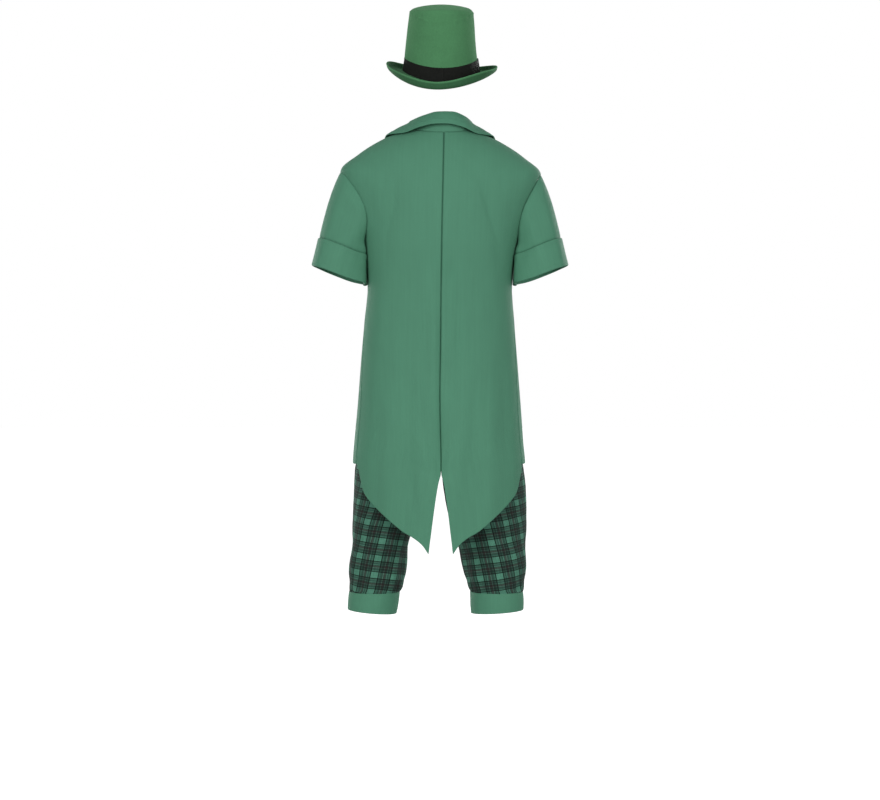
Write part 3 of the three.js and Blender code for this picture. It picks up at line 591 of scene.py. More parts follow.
COAT_SIDES = table("level left right behind left_height right_height", [
    [600, 212, 207, 0, 600, 600],
    [700, 212, 207, 0, 700, 700],
    [814, 211, 206, 0, 814, 814],
    [858, 208, 202, 0, 858, 858],
    [943, 200, 196, 0, 943, 943],
    [1074, 190, 186, 0, 1074, 1074],
    [1161, 182, 179, 0, 1161, 1161],
    [1234, 175, 174, 0, 1234, 1234],
    [1300, 180, 179, 0, 1300, 1300],
    [1340, 187, 187, 0, 1341, 1341],
    [1410, 213, 214, 0, 1427, 1424],
    [1480, 241, 244, 1, 1517, 1510],
    [1530, 197, 204, 4, 1560, 1551],
    [1570, 136, 142, 8, 1597, 1591],
    [1605, 80, 83, 11, 1619, 1617],
])

# How far each armhole cuts into the back and the front, as a share of t, and the powers that make it
# full at its top and slim at the armpit.
ARMHOLE_CUT = {LEFT: (0.36, 0.3), RIGHT: (0.25, 0.3)}
ARMHOLE_POWERS = (0.75, 1.25)

# Soft folds along straight lines, as seen from the back or the front: the ends, how far each spreads
# to its sides, and how far it stands out, less than 0 being a trough. The solids have these.
BACK_FOLDS = [
    [109, 1450, 140, 1335, 18, -4],
    [160, 1150, 166, 900, 24, -5],
    [34, 1220, 44, 1060, 26, -4],
    [4, 1260, 2, 800, 14, -5],
    [-50, 1100, -46, 940, 22, -3.5],
    [-84, 1000, -80, 660, 24, -6],
    [-150, 1180, -158, 900, 24, 4],
    [80, 860, 74, 660, 24, -6],
    [118, 960, 124, 720, 24, 5],
    [-122, 900, -130, 710, 24, 5],
    [-112, 1440, -134, 1330, 18, -3.5],
]
FRONT_FOLDS = [
    [-70, 1180, -124, 1010, 24, -4],
    [76, 1160, 130, 980, 24, -4],
    [-98, 1010, -106, 812, 24, -6],
    [78, 1000, 86, 812, 24, 5],
    [140, 980, 148, 812, 24, -5],
    [-152, 960, -160, 812, 22, 4],
]

# Smaller creases, in the same way.
BACK_CREASES = [
    [106, 1440, 131, 1356, 6, -1.8],
    [96, 1452, 118, 1372, 9, 1.2],
    [-108, 1428, -126, 1362, 6, -1.2],
    [-4, 800, -26, 850, 5, -3.6],
    [6, 800, 22, 858, 5, -3.2],
    [-16, 790, -60, 812, 6, -1.6],
    [20, 790, 56, 806, 6, -1.4],
    [25, 1245, 26, 1000, 14, -6.5],
    [54, 1230, 60, 960, 20, 3.0],
    [-14, 1240, -15, 940, 12, 2.4],
    [142, 1304, 150, 1262, 10, -2],
    [150, 1290, 160, 1206, 8, 1.4],
    [-152, 1300, -158, 1220, 10, -1.6],
    [-168, 812, -170, 760, 6, 1.4],
    [176, 806, 178, 756, 6, 1.4],
    [-60, 740, -48, 655, 12, -1.6],
    [56, 760, 47, 660, 12, -1.6],
    [-110, 1130, -100, 1010, 12, 1.2],
    [98, 1180, 88, 1040, 13, 1.4],
    [20, 1560, 60, 1520, 12, -0.8],
    [-30, 1556, -76, 1512, 12, -0.8],
    [-176, 1470, -160, 1420, 12, -1.4],
    [184, 1466, 168, 1412, 12, -1.4],
    [66, 1010, 60, 880, 11, 1.3],
    [-30, 960, -34, 840, 10, 1.0],
    [3, 1130, 2, 820, 8, -3.2],
    [-70, 1060, -66, 720, 9, -1.6],
    [112, 1000, 106, 740, 9, -1.8],
    [-146, 960, -150, 800, 9, -1.4],
    [152, 1010, 156, 820, 10, -1.8],
]
FRONT_CREASES = [
    [-10, 1245, -70, 1215, 8, -1.6],
    [12, 1160, 66, 1186, 8, -1.6],
    [-12, 1068, -62, 1040, 9, -1.4],
    [10, 1074, 76, 1052, 9, -1.4],
    [-130, 1330, -146, 1250, 10, -2],
    [128, 1326, 146, 1240, 10, -2],
    [-44, 980, -50, 840, 10, 1.4],
    [40, 960, 46, 836, 11, -1.5],
    [-150, 1450, -120, 1380, 12, -1.4],
    [156, 1452, 128, 1372, 12, -1.6],
]


def fold_depth(folds, x, z):
    total = np.zeros(np.broadcast(x, z).shape)
    for x1, z1, x2, z2, spread, depth in folds:
        length = math.hypot(x2 - x1, z2 - z1)
        along = ((x - x1) * (x2 - x1) + (z - z1) * (z2 - z1)) / length
        aside = ((x - x1) * (z2 - z1) - (z - z1) * (x2 - x1)) / length
        beyond = np.maximum(0, np.maximum(-along, along - length))
        total += depth * np.exp(-((aside / spread) ** 2) - (beyond / (3 * spread)) ** 2)
    return total


def armhole_t(side, level, front):
    share = np.clip((SHOULDER_LEVEL - level) / (SHOULDER_LEVEL - ARMPIT_LEVEL), 0, 1)
    behind, ahead = ARMHOLE_CUT[side]
    depth = np.where(front, ahead, behind) * (2 * np.sqrt(share * (1 - share))) ** mix(*ARMHOLE_POWERS, share)
    return np.where(front, 1 + depth, 1 - depth)


def side_reach(side, level):
    return read(COAT_SIDES, SIDE_NAMES[side], level)


def coat_form(side, t, level):
    """A point of the coat's cloth without its folds."""
    t, level = np.broadcast_arrays(np.asarray(t, float), np.asarray(level, float))
    front = t > 1
    angle = np.where(front, 2 - t, t) * math.pi / 2
    outward = np.sin(angle)
    centre = {name: read(COAT_CENTRES, name, level) for name in COAT_CENTRES}
    cosine = np.maximum(0, np.cos(angle)) ** centre["square"]
    depth = np.where(front, centre["front_depth"], -centre["back_depth"])
    y = mix(-read(COAT_SIDES, "behind", level), depth, cosine)
    centre_height = np.where(front, centre["front_height"], level)
    z = mix(centre_height, read(COAT_SIDES, SIDE_NAMES[side] + "_height", level), outward**2)
    shift = np.where(front, 0, centre["shift"] * np.cos(angle) ** 2)
    return points(side * side_reach(side, level) * outward + shift, y, z)


def coat_point(side, t, level):
    p = coat_form(side, t, level)
    t = np.broadcast_to(t, p.shape[:-1])
    x, z = p[..., 0], p[..., 2]
    back = -fold_depth(BACK_FOLDS + BACK_CREASES, x, z)
    front = fold_depth(FRONT_FOLDS + FRONT_CREASES, x, z)
    p[..., 1] += np.where(t > 1, front, back) * np.abs(np.cos(t * math.pi / 2))
    return p


def back_at(side, out, level):
    """t at which a level lies at a distance from the middle plane."""
    return np.arcsin(np.clip(out / side_reach(side, level), -1, 1)) / (math.pi / 2)


def front_at(side, out, level):
    return 2 - back_at(side, out, level)


# Where the side seam lies at the hem and from which level down, and half the gap between two panels.
HEM_SEAM_T = 0.79
HEM_SEAM_LEVEL = 900
PANEL_GAP = 0.0012


def outer_edge(side, level, front):
    gap = PANEL_GAP if front else -PANEL_GAP
    seam = mix(1, HEM_SEAM_T, ease(ARMPIT_LEVEL, HEM_SEAM_LEVEL, level)) + gap
    edge = np.where(level > ARMPIT_LEVEL, armhole_t(side, level, front), seam)
    return np.where(level >= SHOULDER_LEVEL, 1 + gap, edge)


YOKE_ROWS, ARMHOLE_ROWS, SKIRT_ROWS = 3, 9, 11
ROW_COUNT = YOKE_ROWS + ARMHOLE_ROWS + SKIRT_ROWS


def row_level(row, hem):
    turn = np.clip((row - YOKE_ROWS) / ARMHOLE_ROWS, 0, 1)
    yoke = mix(NECK_LEVEL, SHOULDER_LEVEL, np.clip(row / YOKE_ROWS, 0, 1))
    armhole = mix(SHOULDER_LEVEL, ARMPIT_LEVEL, (1 - np.cos(math.pi * turn)) / 2)
    skirt = mix(ARMPIT_LEVEL, hem, (row - YOKE_ROWS - ARMHOLE_ROWS) / SKIRT_ROWS)
    return np.where(row <= YOKE_ROWS, yoke, np.where(turn < 1, armhole, skirt))


def row_place(row, u, hem):
    """A row's level at the centre, at a place across the panel, and at the panel's outer edge."""
    outer = row_level(row, hem)
    upper = YOKE_ROWS + ARMHOLE_ROWS
    inner = np.where(row < upper, mix(NECK_LEVEL, ARMPIT_LEVEL, row / upper), outer)
    return inner, mix(inner, outer, u * u), outer


TAIL_EDGE = table("x height", [
    [29, 603],
    [45, 625],
    [66, 641],
    [87, 653],
    [118, 678],
    [147, 704],
    [172, 730],
    [182, 745],
    [191, 778],
    [197, 805],
    [200, 812],
])
VENT = table("height out", [
    [603, 29],
    [645, 23.5],
    [705, 16],
    [770, 6],
    [791, 0],
])


def inner_edge(side, level):
    vent = np.where(level < VENT_LEVEL, read(VENT, "out", level), 0)
    return back_at(side, vent + SEAM_GAP / 2, level)


def tail_level(side, u):
    """The level of the tail's edge, found by closing in on it from a middle level."""
    level = np.full(u.shape, 700.0)
    for _ in range(8):
        t = mix(inner_edge(side, level), outer_edge(side, level, False), u)
        level = read(TAIL_EDGE, "height", np.sin(t * math.pi / 2) * side_reach(side, level))
    return level


# How deep the armhole's seam at the back is drawn in along its upper and its lower part.
# The upper part starts over two levels above the armpit's.
ARMHOLE_SEAM = {LEFT: (0.35, 1.0), RIGHT: (0.8, 0.45)}
UPPER_FROM, UPPER_FULL = ARMPIT_LEVEL + 15, ARMPIT_LEVEL + 75
PANEL_LENGTH = 1000
PANEL_WIDTH = 230
CENTRE_SEAM = 1.6
YOKE_SEAM = 0.7


def coat_back(side):
    v = stations(150, PANEL_LENGTH, start=False)[:, None]
    u = stations(56, PANEL_WIDTH)[None, :]
    inner, level, outer = row_place(v * ROW_COUNT, u, tail_level(side, u))
    middle = coat_point(side, mix(inner_edge(side, inner), outer_edge(side, outer, False), u), level)
    centre_seam = ease(VENT_LEVEL - 4, VENT_LEVEL + 4, level)
    upper, lower = ARMHOLE_SEAM[side]
    edges = {
        "top": ("seam", YOKE_SEAM),
        "start": ("seam", CENTRE_SEAM * centre_seam),
        "end": ("seam", mix(lower, upper, ease(UPPER_FROM, UPPER_FULL, outer))),
        "bottom": ("hem", 1.0),
    }
    sew("coat_back_" + SIDE_NAMES[side], middle, side, COAT_WALL, SUITING, edges, seed=1.3 + side, grain=0)


FRONT_EDGE = table("level out", [
    [600, -20],
    [1290, -20],
    [1335, 12],
    [1375, 30],
    [1424, 42],
    [1480, 54],
    [1530, 63],
    [1570, 70],
    [1605, 76],
])
FRONT_HEM = {"side": 812, "centre": 820, "corner": 34, "turn": 0.34}
# How far the upper front stands off, the distances from the middle over which it rises, and the
# levels over which it starts.
OVERLAP = {"lift": 4, "outer": 84, "inner": 34, "top": 1420, "full": 1345}
LAPEL_TOP, LAPEL_BREAK = 1515, 1340


def front_point(side, t, level):
    """The wearer's left front lies over the right one at the centre."""
    p = coat_point(side, t, level)
    if side == LEFT:
        across = ease(OVERLAP["outer"], OVERLAP["inner"], -p[..., 0])
        p[..., 1] += OVERLAP["lift"] * across * ease(OVERLAP["top"], OVERLAP["full"], level)
    return p


def coat_front(side):
    v = stations(132, PANEL_LENGTH, start=False)[:, None]
    u = stations(52, PANEL_WIDTH)[None, :]
    corner = FRONT_HEM["corner"] * (1 - np.sqrt(1 - (1 - ease(0, FRONT_HEM["turn"], u)) ** 2))
    hem = mix(FRONT_HEM["centre"], FRONT_HEM["side"], u) + corner
    inner, level, outer = row_place(v * ROW_COUNT, u, hem)
    edge = front_at(side, read(FRONT_EDGE, "out", inner), inner)
    middle = front_point(side, mix(edge, outer_edge(side, outer, True), u), level)
    edges = {
        "top": ("seam", YOKE_SEAM),
        "start": ("hem", ease(LAPEL_BREAK, LAPEL_BREAK - 40, level)),
        "end": ("seam", 1.0),
        "bottom": ("hem", 1.0),
    }
    sew("coat_front_" + SIDE_NAMES[side], middle, -side, COAT_WALL, SUITING, edges, seed=4.1 + side, grain=1)


LAPEL_EDGE = table("level out", [
    [1340, 34],
    [1375, 84],
    [1424, 112],
    [1480, 126],
    [1515, 131],
])
LAPEL_ROLL = 1.9
LAPEL_LIFT = 1.4


def lapel(side):
    """The lapel rolls over the front's edge and lies on the front."""
    level = mix(LAPEL_TOP, LAPEL_BREAK, stations(46, LAPEL_TOP - LAPEL_BREAK)[:, None])
    turn = np.linspace(0, math.pi, 9)[None, :]
    share = stations(22, 70, start=False)[None, 1:]
    edge, outer = read(FRONT_EDGE, "out", level), read(LAPEL_EDGE, "out", level)
    out = np.concatenate([edge + 1 - LAPEL_ROLL * np.sin(turn), mix(edge + 1, outer, share)], 1)
    lift = np.concatenate([
        np.broadcast_to(LAPEL_ROLL * (1 - np.cos(turn)), (len(level), turn.shape[1])),
        np.broadcast_to(2 * LAPEL_ROLL + LAPEL_LIFT * share**1.5, (len(level), share.shape[1])),
    ], 1)
    flat = front_point(side, front_at(side, out, level), level)
    evenly = mix(edge + 2, outer, np.linspace(0, 1, out.shape[1]))
    straight = front_point(side, front_at(side, evenly, level), level)
    middle = flat - side * grid_normals(straight) * lift[..., None]
    edges = {"end": ("hem", 0.5), "top": ("hem", 0.5)}
    sew("coat_lapel_" + SIDE_NAMES[side], middle, -side, COAT_WALL, SUITING, edges, seed=7.7 + side)


# Collar: s runs from the centre back (0) to the shoulder seam (1) and down the front edge (2).

COLLAR = table("s stand_up stand_in edge_x edge_y edge_z", [
    [0, 51, 5, 0, -95, 1623.5],
    [0.14, 50, 5, 17, -94.5, 1623],
    [0.4, 39, 5, 50, -85, 1617],
    [0.75, 22, 6, 93, -58, 1605.5],
    [1, 16, 6, 127, -20, 1606.5],
    [1.35, 13, 5, 138, 34, 1582],
    [1.7, 9, 3, 134, 66, 1543],
    [2, 5, 2, 124, 80, 1516],
])
COLLAR_END_LEVEL = 1520
COLLAR_ROLL = 3.2
# How far the leaf bulges, and where its two inner places lie.
COLLAR_LEAF = {"bulge": 3, "upper": 0.4, "lower": 0.75}
LEAF_CORNERS = 3
# Where the collar's seam turns from the neck's edge down the front's, how far it lies above them, and
# how far it lies inside the neck and inside and ahead of the front.
COLLAR_CORNER = 1.2
COLLAR_LIFT = {"back": -2.2, "shoulder": 1.5, "end": 1.2, "from": 0.45}
COLLAR_INSIDE = {"neck": 1.2, "from": 0.9, "inwards": 3.6, "ahead": 0.8, "by": 1.35}
RIGHT_SHOULDER_DROP = 3


def collar_seam(side, s):
    corner = front_at(side, read(FRONT_EDGE, "out", NECK_LEVEL), NECK_LEVEL)
    t = np.where(s <= 1, s, mix(1, corner, (s - 1) / (COLLAR_CORNER - 1)))
    upper = coat_form(side, t, np.full(s.shape, NECK_LEVEL))
    down = np.clip((s - COLLAR_CORNER) / (2 - COLLAR_CORNER), 0, 1)
    level = mix(NECK_LEVEL, COLLAR_END_LEVEL, down)
    past_corner = ease(COLLAR_CORNER, COLLAR_INSIDE["by"], s)
    out = read(FRONT_EDGE, "out", level) - COLLAR_INSIDE["inwards"] * past_corner
    lower = coat_form(side, front_at(side, out, level), level)
    rise = mix(COLLAR_LIFT["back"], COLLAR_LIFT["shoulder"], ease(COLLAR_LIFT["from"], 1, s))
    fall = mix(COLLAR_LIFT["shoulder"], COLLAR_LIFT["end"], ease(0, 1, down))
    seam = np.where((s <= COLLAR_CORNER)[:, None], upper, lower)
    ahead = COLLAR_INSIDE["neck"] * ease(COLLAR_CORNER, COLLAR_INSIDE["from"], s)
    ahead = ahead + COLLAR_INSIDE["ahead"] * past_corner
    return seam + points(0, ahead, np.where(s <= COLLAR_CORNER, rise, fall))


def collar_section(side, s):
    """Up the stand, over the roll and down the leaf, for each place along the collar."""
    seam = collar_seam(side, s)
    value = {name: read(COLLAR, name, s) for name in COLLAR}
    edge = on_side(side, points(value["edge_x"], value["edge_y"], value["edge_z"]))
    if side == RIGHT:
        edge[:, 2] -= RIGHT_SHOULDER_DROP * ease(0.4, 1, s)
    outward = unit((edge - seam) * [1, 1, 0])
    roll = np.minimum(COLLAR_ROLL, value["stand_up"] / 2.5)[:, None]
    up = np.array([0, 0, 1.0])
    fold = seam - outward * value["stand_in"][:, None] + up * value["stand_up"][:, None]
    inside, outside = fold - (outward + up) * roll, fold + (outward - up) * roll

    def leaf(f):
        return mix(outside, edge, f) + up * COLLAR_LEAF["bulge"] * math.sin(math.pi * f)

    stand = [seam, mix(seam, inside, 0.5), inside, fold, outside]
    return np.stack([*stand, leaf(COLLAR_LEAF["upper"]), leaf(COLLAR_LEAF["lower"]), edge], 1)


def smooth_line(corners, per_corner):
    """A smooth line through a section's corners, with the same number of points after each."""
    run = np.r_[0, np.cumsum(np.linalg.norm(np.diff(corners, axis=0), axis=1))]
    at = np.interp(np.arange((len(run) - 1) * per_corner + 1) / per_corner, np.arange(len(run)), run)
    line = dict(run=run, x=corners[:, 0], y=corners[:, 1], z=corners[:, 2])
    return np.stack([read(line, axis, at) for axis in "xyz"], 1)


def collar():
    across = np.linspace(-1, 1, 161)
    sections = [collar_section(side, 2 * np.abs(across[across * side >= 0])) for side in (LEFT, RIGHT)]
    sections = np.concatenate([sections[0], sections[1][1:]])
    lean = read(COAT_CENTRES, "shift", NECK_LEVEL) / 2 * ease(0.5, 0, np.abs(across))
    sections[:, -LEAF_CORNERS:, 0] += lean[:, None]
    middle = np.stack([smooth_line(section, 5) for section in sections])
    edges = {"start": ("seam", 0.5), "end": ("hem", 0.6), "top": ("hem", 0.6), "bottom": ("hem", 0.6)}
    sew("coat_collar", middle, 1, COLLAR_WALL, SUITING, edges, seed=11.2)


# Sleeves and their turned-up cuffs
# angle runs round the sleeve: 0 is the outside, 90 the back, 180 the inside; s runs down it.

SLEEVE_END = {"outer": (309, 1294), "inner": (185, 1246), "depth": 78}
SLEEVE_START = 0.5
# Under the arm the sleeve lies close round the coat's side.
SLEEVE_TUCK = {"angle": 146, "spread": 20, "depth": 13, "from": 0.02, "to": 0.35}
# Soft folds: the angle that each lies at, where it starts and ends, its spread and its depth.
SLEEVE_FOLDS = [
    [60, 0.1, 0.62, 0.16, -4],
    [120, 0.05, 0.5, 0.14, -4],
    [-60, 0.05, 0.6, 0.16, -4],
    [-120, 0.1, 0.5, 0.14, -4],
    [88, 0.0, 0.3, 0.05, 1.2],
    [42, 0.3, 0.9, 0.06, 1.5],
    [104, 0.35, 0.95, 0.05, -1.6],
    [138, 0.1, 0.55, 0.05, 1.3],
    [-40, 0.25, 0.9, 0.06, -1.5],
    [-96, 0.05, 0.55, 0.05, 1.3],
    [20, 0.0, 0.4, 0.07, -1.2],
]


def armhole(side, angle):
    level = mix(ARMPIT_LEVEL, SHOULDER_LEVEL, (1 + np.cos(angle)) / 2)
    return coat_point(side, armhole_t(side, level, np.sin(angle) < 0), level)


def sleeve_end(side, angle):
    outside = (1 + np.cos(angle)) / 2
    (outer_x, outer_z), (inner_x, inner_z) = SLEEVE_END["outer"], SLEEVE_END["inner"]
    y = -SLEEVE_END["depth"] * np.sin(angle)
    return points(side * mix(inner_x, outer_x, outside), y, mix(inner_z, outer_z, outside))


def sleeve_length(side, angle):
    return np.linalg.norm(sleeve_end(side, angle) - armhole(side, angle), axis=-1)


def turned_by(angle, degrees):
    """How far an angle is from another one, the shorter way round, in radians."""
    return np.angle(np.exp(1j * (angle - math.radians(degrees))))


def sleeve_fold(angle, s):
    total = 0
    for at, s1, s2, spread, depth in SLEEVE_FOLDS:
        along = ease(s1, s1 + 0.2, s) * ease(s2 + 0.25, s2, s)
        total = total + depth * along * bump(turned_by(angle, at), 0, spread * math.pi)
    return total


# The way that the cloth leaves the armhole, inside and outside of the arm, and the way it ends.
SLEEVE_AWAY = {"out": (0.26, 0.46), "aside": 0.22, "down": (0.94, 0.86)}
SLEEVE_ONWARDS = (0, 0.28)


def sleeve_point(side, angle, s):
    angle, s = np.broadcast_arrays(angle, s)
    outside = (1 + np.cos(angle)) / 2
    aside = np.sin(angle)
    out, down = (mix(*SLEEVE_AWAY[way], outside) for way in ("out", "down"))
    away = unit(points(side * out, -SLEEVE_AWAY["aside"] * aside, -down))
    onwards = unit(points(side * mix(*SLEEVE_ONWARDS, outside), 0, -1))
    start = armhole(side, angle) + away * SLEEVE_START
    end = sleeve_end(side, angle)
    reach = np.linalg.norm(end - start, axis=-1)[..., None]
    f = s[..., None]
    p = mix(start, end, f * f * (3 - 2 * f)) + away * reach * f * (1 - f) ** 2
    p = p - onwards * reach * f * f * (1 - f)
    outwards = points(side * np.cos(angle), -np.sin(angle), 0)
    tuck = SLEEVE_TUCK["depth"] * ease(SLEEVE_TUCK["from"], SLEEVE_TUCK["to"], s) * sum(
        bump(np.degrees(angle), turn * SLEEVE_TUCK["angle"], SLEEVE_TUCK["spread"]) for turn in (-1, 1))
    return p + outwards * sleeve_fold(angle, s)[..., None] - points(side * tuck, 0, 0)


def round_angles(count, span=430):
    """Angles once round a sleeve from its seam under the arm."""
    return mix(math.pi, -math.pi, stations(count, span))[None, :]


CUFF = {"depth": 64, "beyond": 0.5, "stand_off": 2.3, "hem_off": 2.0, "inside": -2.0, "tuck": 9}


def sleeve(side):
    s = stations(44, 200, end=False)[:, None]
    angle = round_angles(96)
    middle = sleeve_point(side, angle, s)
    over_cuff = (1 - s) * sleeve_length(side, angle) - CUFF["depth"]
    low = ease(0.2, -0.2, np.cos(angle))
    upper, lower = ARMHOLE_SEAM[side]
    edges = {"top": ("seam", 0.6 * mix(upper, lower, low)), "start": ("seam", 0.6), "end": ("seam", 0.6)}
    # A groove just above the cuff's top edge, with painted shade along it.
    sew("coat_sleeve_" + SIDE_NAMES[side], middle, side, COAT_WALL, SUITING, edges, seed=2.9 + side,
        relief=-1.2 * bump(over_cuff, 0, 5), pressed=1.6 * bump(over_cuff, 0, 3.5))


def cuff(side):
    """The sleeve's end turned up: the cuff stands off at its top and folds round under the hem."""
    angle = round_angles(96)
    reach = sleeve_length(side, angle)
    share = stations(22, CUFF["depth"], end=False)[:, None]
    radius = (CUFF["hem_off"] - CUFF["inside"]) / 2
    turn = np.linspace(0, math.pi, 11)[1:, None]
    tuck = np.linspace(0, CUFF["tuck"], 4)[1:, None]
    below = np.concatenate([
        mix(CUFF["depth"], -CUFF["beyond"], share),
        -CUFF["beyond"] - radius * np.sin(turn),
        -CUFF["beyond"] + tuck,
    ])
    off = np.concatenate([
        mix(CUFF["stand_off"], CUFF["hem_off"], share),
        CUFF["inside"] + radius * (1 + np.cos(turn)),
        np.full(tuck.shape, CUFF["inside"]),
    ])
    on = sleeve_point(side, angle, np.minimum(1, 1 - below / reach))
    on[..., 2] += np.minimum(0, below)
    evenly = sleeve_point(side, angle, 1 - np.linspace(CUFF["depth"], 1, len(below))[:, None] / reach)
    middle = on + side * grid_normals(evenly) * off[..., None]
    edges = {"top": ("hem", 0.8), "start": ("seam", 0.6), "end": ("seam", 0.6)}
    sew("coat_cuff_" + SIDE_NAMES[side], middle, side, CUFF_WALL, SUITING, edges, seed=8.3 + side)


# Buttons down the front's centre, sewn through four holes

BUTTON = {"radius": 11, "depth": 2.6, "rim": 1.8, "hole": 0.9, "hole_out": 1.5, "sides": 40}
HOLE_SIDES = 12


def ring_mesh(name, rings):
    """A closed round form from rings of points, the first and the last being filled."""
    mesh = bmesh.new()
    rows = [[mesh.verts.new(p) for p in ring] for ring in rings]
    for below, above in zip(rows, rows[1:]):
        for k in range(len(below)):
            after = (k + 1) % len(below)
            mesh.faces.new((below[k], above[k], above[after], below[after]))
    for row in (rows[0], rows[-1]):
        mesh.faces.new(row)
    bmesh.ops.recalc_face_normals(mesh, faces=mesh.faces)
    data = bpy.data.meshes.new(name)
    mesh.to_mesh(data)
    mesh.free()
    return new_object(name, data)


def turned_ring(centre, out, up, sides):
    """A ring round an axis that points forwards, in millimetres from a centre in metres."""
    turns = [2 * math.pi * k / sides for k in range(sides)]
    return [centre + Vector((out * math.cos(a), up, out * math.sin(a))) * MM for a in turns]


def hole_centres(centre):
    out = BUTTON["hole_out"] * MM
    return [centre + Vector((x * out, 0, z * out)) for x in (-1, 1) for z in (-1, 1)]


def finished_mesh(made):
    """The object's mesh with its modifiers applied."""
    ready = made.evaluated_get(bpy.context.evaluated_depsgraph_get())
    data = bpy.data.meshes.new_from_object(ready)
    made.modifiers.clear()
    made.data = data
    return made


def button(number):
    name = f"coat_button_{number}"
    low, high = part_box(name)
    centre = Vector(((low.x + high.x) / 2, low.y, (low.z + high.z) / 2))
    radius, depth, rim = BUTTON["radius"], BUTTON["depth"], BUTTON["rim"]
    profile = [
        (0.4, 0),
        (radius - 1.2, 0),
        (radius - 0.3, 0.5),
        (radius, 1.2),
        (radius - 0.2, depth - 0.6),
        (radius - 0.8, depth),
        (radius - rim, depth - 0.2),
        (radius - rim - 1, depth - 0.9),
        (radius - rim - 3, depth - 1.0),
        (0.4, depth - 1.1),
    ]
    made = ring_mesh(name + "_dish", [turned_ring(centre, out, up, BUTTON["sides"]) for out, up in profile])
    for hole, at in enumerate(hole_centres(centre)):
        rings = [turned_ring(at, BUTTON["hole"], up, HOLE_SIDES) for up in (-1, depth + 1)]
        drill = ring_mesh(f"{name}_drill_{hole}", rings)
        cut = made.modifiers.new("hole", "BOOLEAN")
        cut.object, cut.operation, cut.solver = drill, "DIFFERENCE", "EXACT"
        finished_mesh(made)
        bpy.data.objects.remove(drill)
    made.data.polygons.foreach_set("use_smooth", [len(f.vertices) == 4 for f in made.data.polygons])
    made.data.materials.clear()
    made.data.materials.append(BUTTON_BLACK)
    finish_piece(made, name)
    return centre


# Breeches
# round runs from the inside of the leg at the back (-1) past the outside (0) to the front (1).

# The height at which the legs join.
FORK = 806
LEGS = table("level left_inner left_outer right_inner right_outer behind ahead", [
    [494, 98.5, 220, 74, 201, 63.2, 63.2],
    [500, 98, 219.5, 74, 201, 63.2, 63.2],
    [510, 93, 219.5, 70, 202, 66, 66],
    [560, 83, 218.5, 58, 205.5, 74, 73],
    [632, 70, 215.5, 39, 207, 83, 81],
    [697, 49, 213, 21, 207, 91, 89],
    [760, 24, 210, 10, 205, 99, 95],
    [795, 5, 207, 5, 202, 105, 100],
    [806, 1, 205, 1, 200.5, 107, 101],
    [818, -20, 202, -20, 198, 110, 102],
    [835, -55, 199, -55, 195, 114, 104],
    [860, -110, 193, -110, 190, 117, 105],
    [890, -160, 187, -160, 185, 117, 105],
    [930, -180, 180, -178, 178, 114, 103],
    [980, -170, 170, -170, 170, 107, 99],
    [1028, -160, 160, -160, 160, 101, 95],
])
LEG_TOP, LEG_END = 1028, 494
# How far the gathered cloth turns in behind the top of the knee band.
LEG_TUCK = 2.4
# How far each leg keeps from the middle plane below the fork.
LEGS_APART = 1.4
# Creases round the leg: the angle, the two heights, the angle's spread and the depth.
LEG_CREASES = {
    LEFT: [
        [-150, 590, 540, 9, -3.0],
        [-128, 610, 520, 8, 2.2],
        [-60, 640, 530, 10, -2.4],
        [-96, 560, 505, 7, -2.0],
        [-30, 600, 510, 9, 2.0],
        [-78, 545, 503, 5, 1.4],
        [-112, 530, 503, 5, 1.5],
        [60, 610, 520, 10, -2.4],
        [110, 570, 506, 8, -2.0],
        [150, 600, 530, 10, 2.2],
        [84, 550, 503, 5, 1.5],
    ],
    RIGHT: [
        [-156, 600, 530, 10, -3.2],
        [-134, 570, 520, 7, 2.4],
        [-118, 548, 505, 6, -2.2],
        [-64, 650, 540, 10, -2.6],
        [-84, 560, 503, 6, 1.5],
        [-38, 590, 508, 8, -1.8],
        [56, 620, 515, 10, 2.2],
        [98, 580, 505, 8, -2.2],
        [140, 610, 530, 9, -2.4],
        [76, 548, 503, 5, 1.4],
    ],
}


# Waves round the leg: how high, how many, how far each leg's are turned, and the levels over which
# they fade in and out.
LEG_WAVES = [
    [1.6, 13, 1, 500, 506, 545, 508],
    [2.56, 4, 1.3, 520, 640, 830, 740],
]
# Soft rolls across the back of the knee.
KNEE_ROLLS = {"height": 2.6, "middle": 520, "length": 21}


def leg_crease(side, angle, level):
    turn = (level - KNEE_ROLLS["middle"]) / KNEE_ROLLS["length"] + 2 * angle
    total = KNEE_ROLLS["height"] * np.sin(turn) * ease(520, 545, level) * ease(680, 600, level)
    for height, count, start, low, low_full, high, high_full in LEG_WAVES:
        fade = ease(low, low_full, level) * ease(high, high_full, level)
        total = total + height * np.sin(count * angle + start * side) * fade
    for at, high, low, spread, depth in LEG_CREASES[side]:
        along = ease(low - 8, low + 6, level) * ease(high + 30, high - 10, level)
        total = total + depth * along * bump(np.degrees(turned_by(angle, at)), 0, spread)
    return total


def leg_point(side, around, level):
    inner, outer = (read(LEGS, f"{SIDE_NAMES[side]}_{end}", level) for end in ("inner", "outer"))
    centre, half = (inner + outer) / 2, (outer - inner) / 2
    open_turn = np.arccos(np.clip((SEAM_GAP / 2 - centre) / half, -1, 1))
    angle = around * np.where(inner < 0, open_turn, math.pi)
    depth = np.where(np.sin(angle) < 0, read(LEGS, "behind", level), read(LEGS, "ahead", level))
    crease = leg_crease(side, angle, level) - LEG_TUCK * ease(502, 497.5, level)
    beside = mix(LEGS_APART, SEAM_GAP / 2, ease(FORK, FORK + 20, level))
    x = np.maximum(beside, centre + (half + crease) * np.cos(angle))
    return on_side(side, points(x, (depth + crease) * np.sin(angle), level + 0 * x))


LEG_SEAM = 0.0012
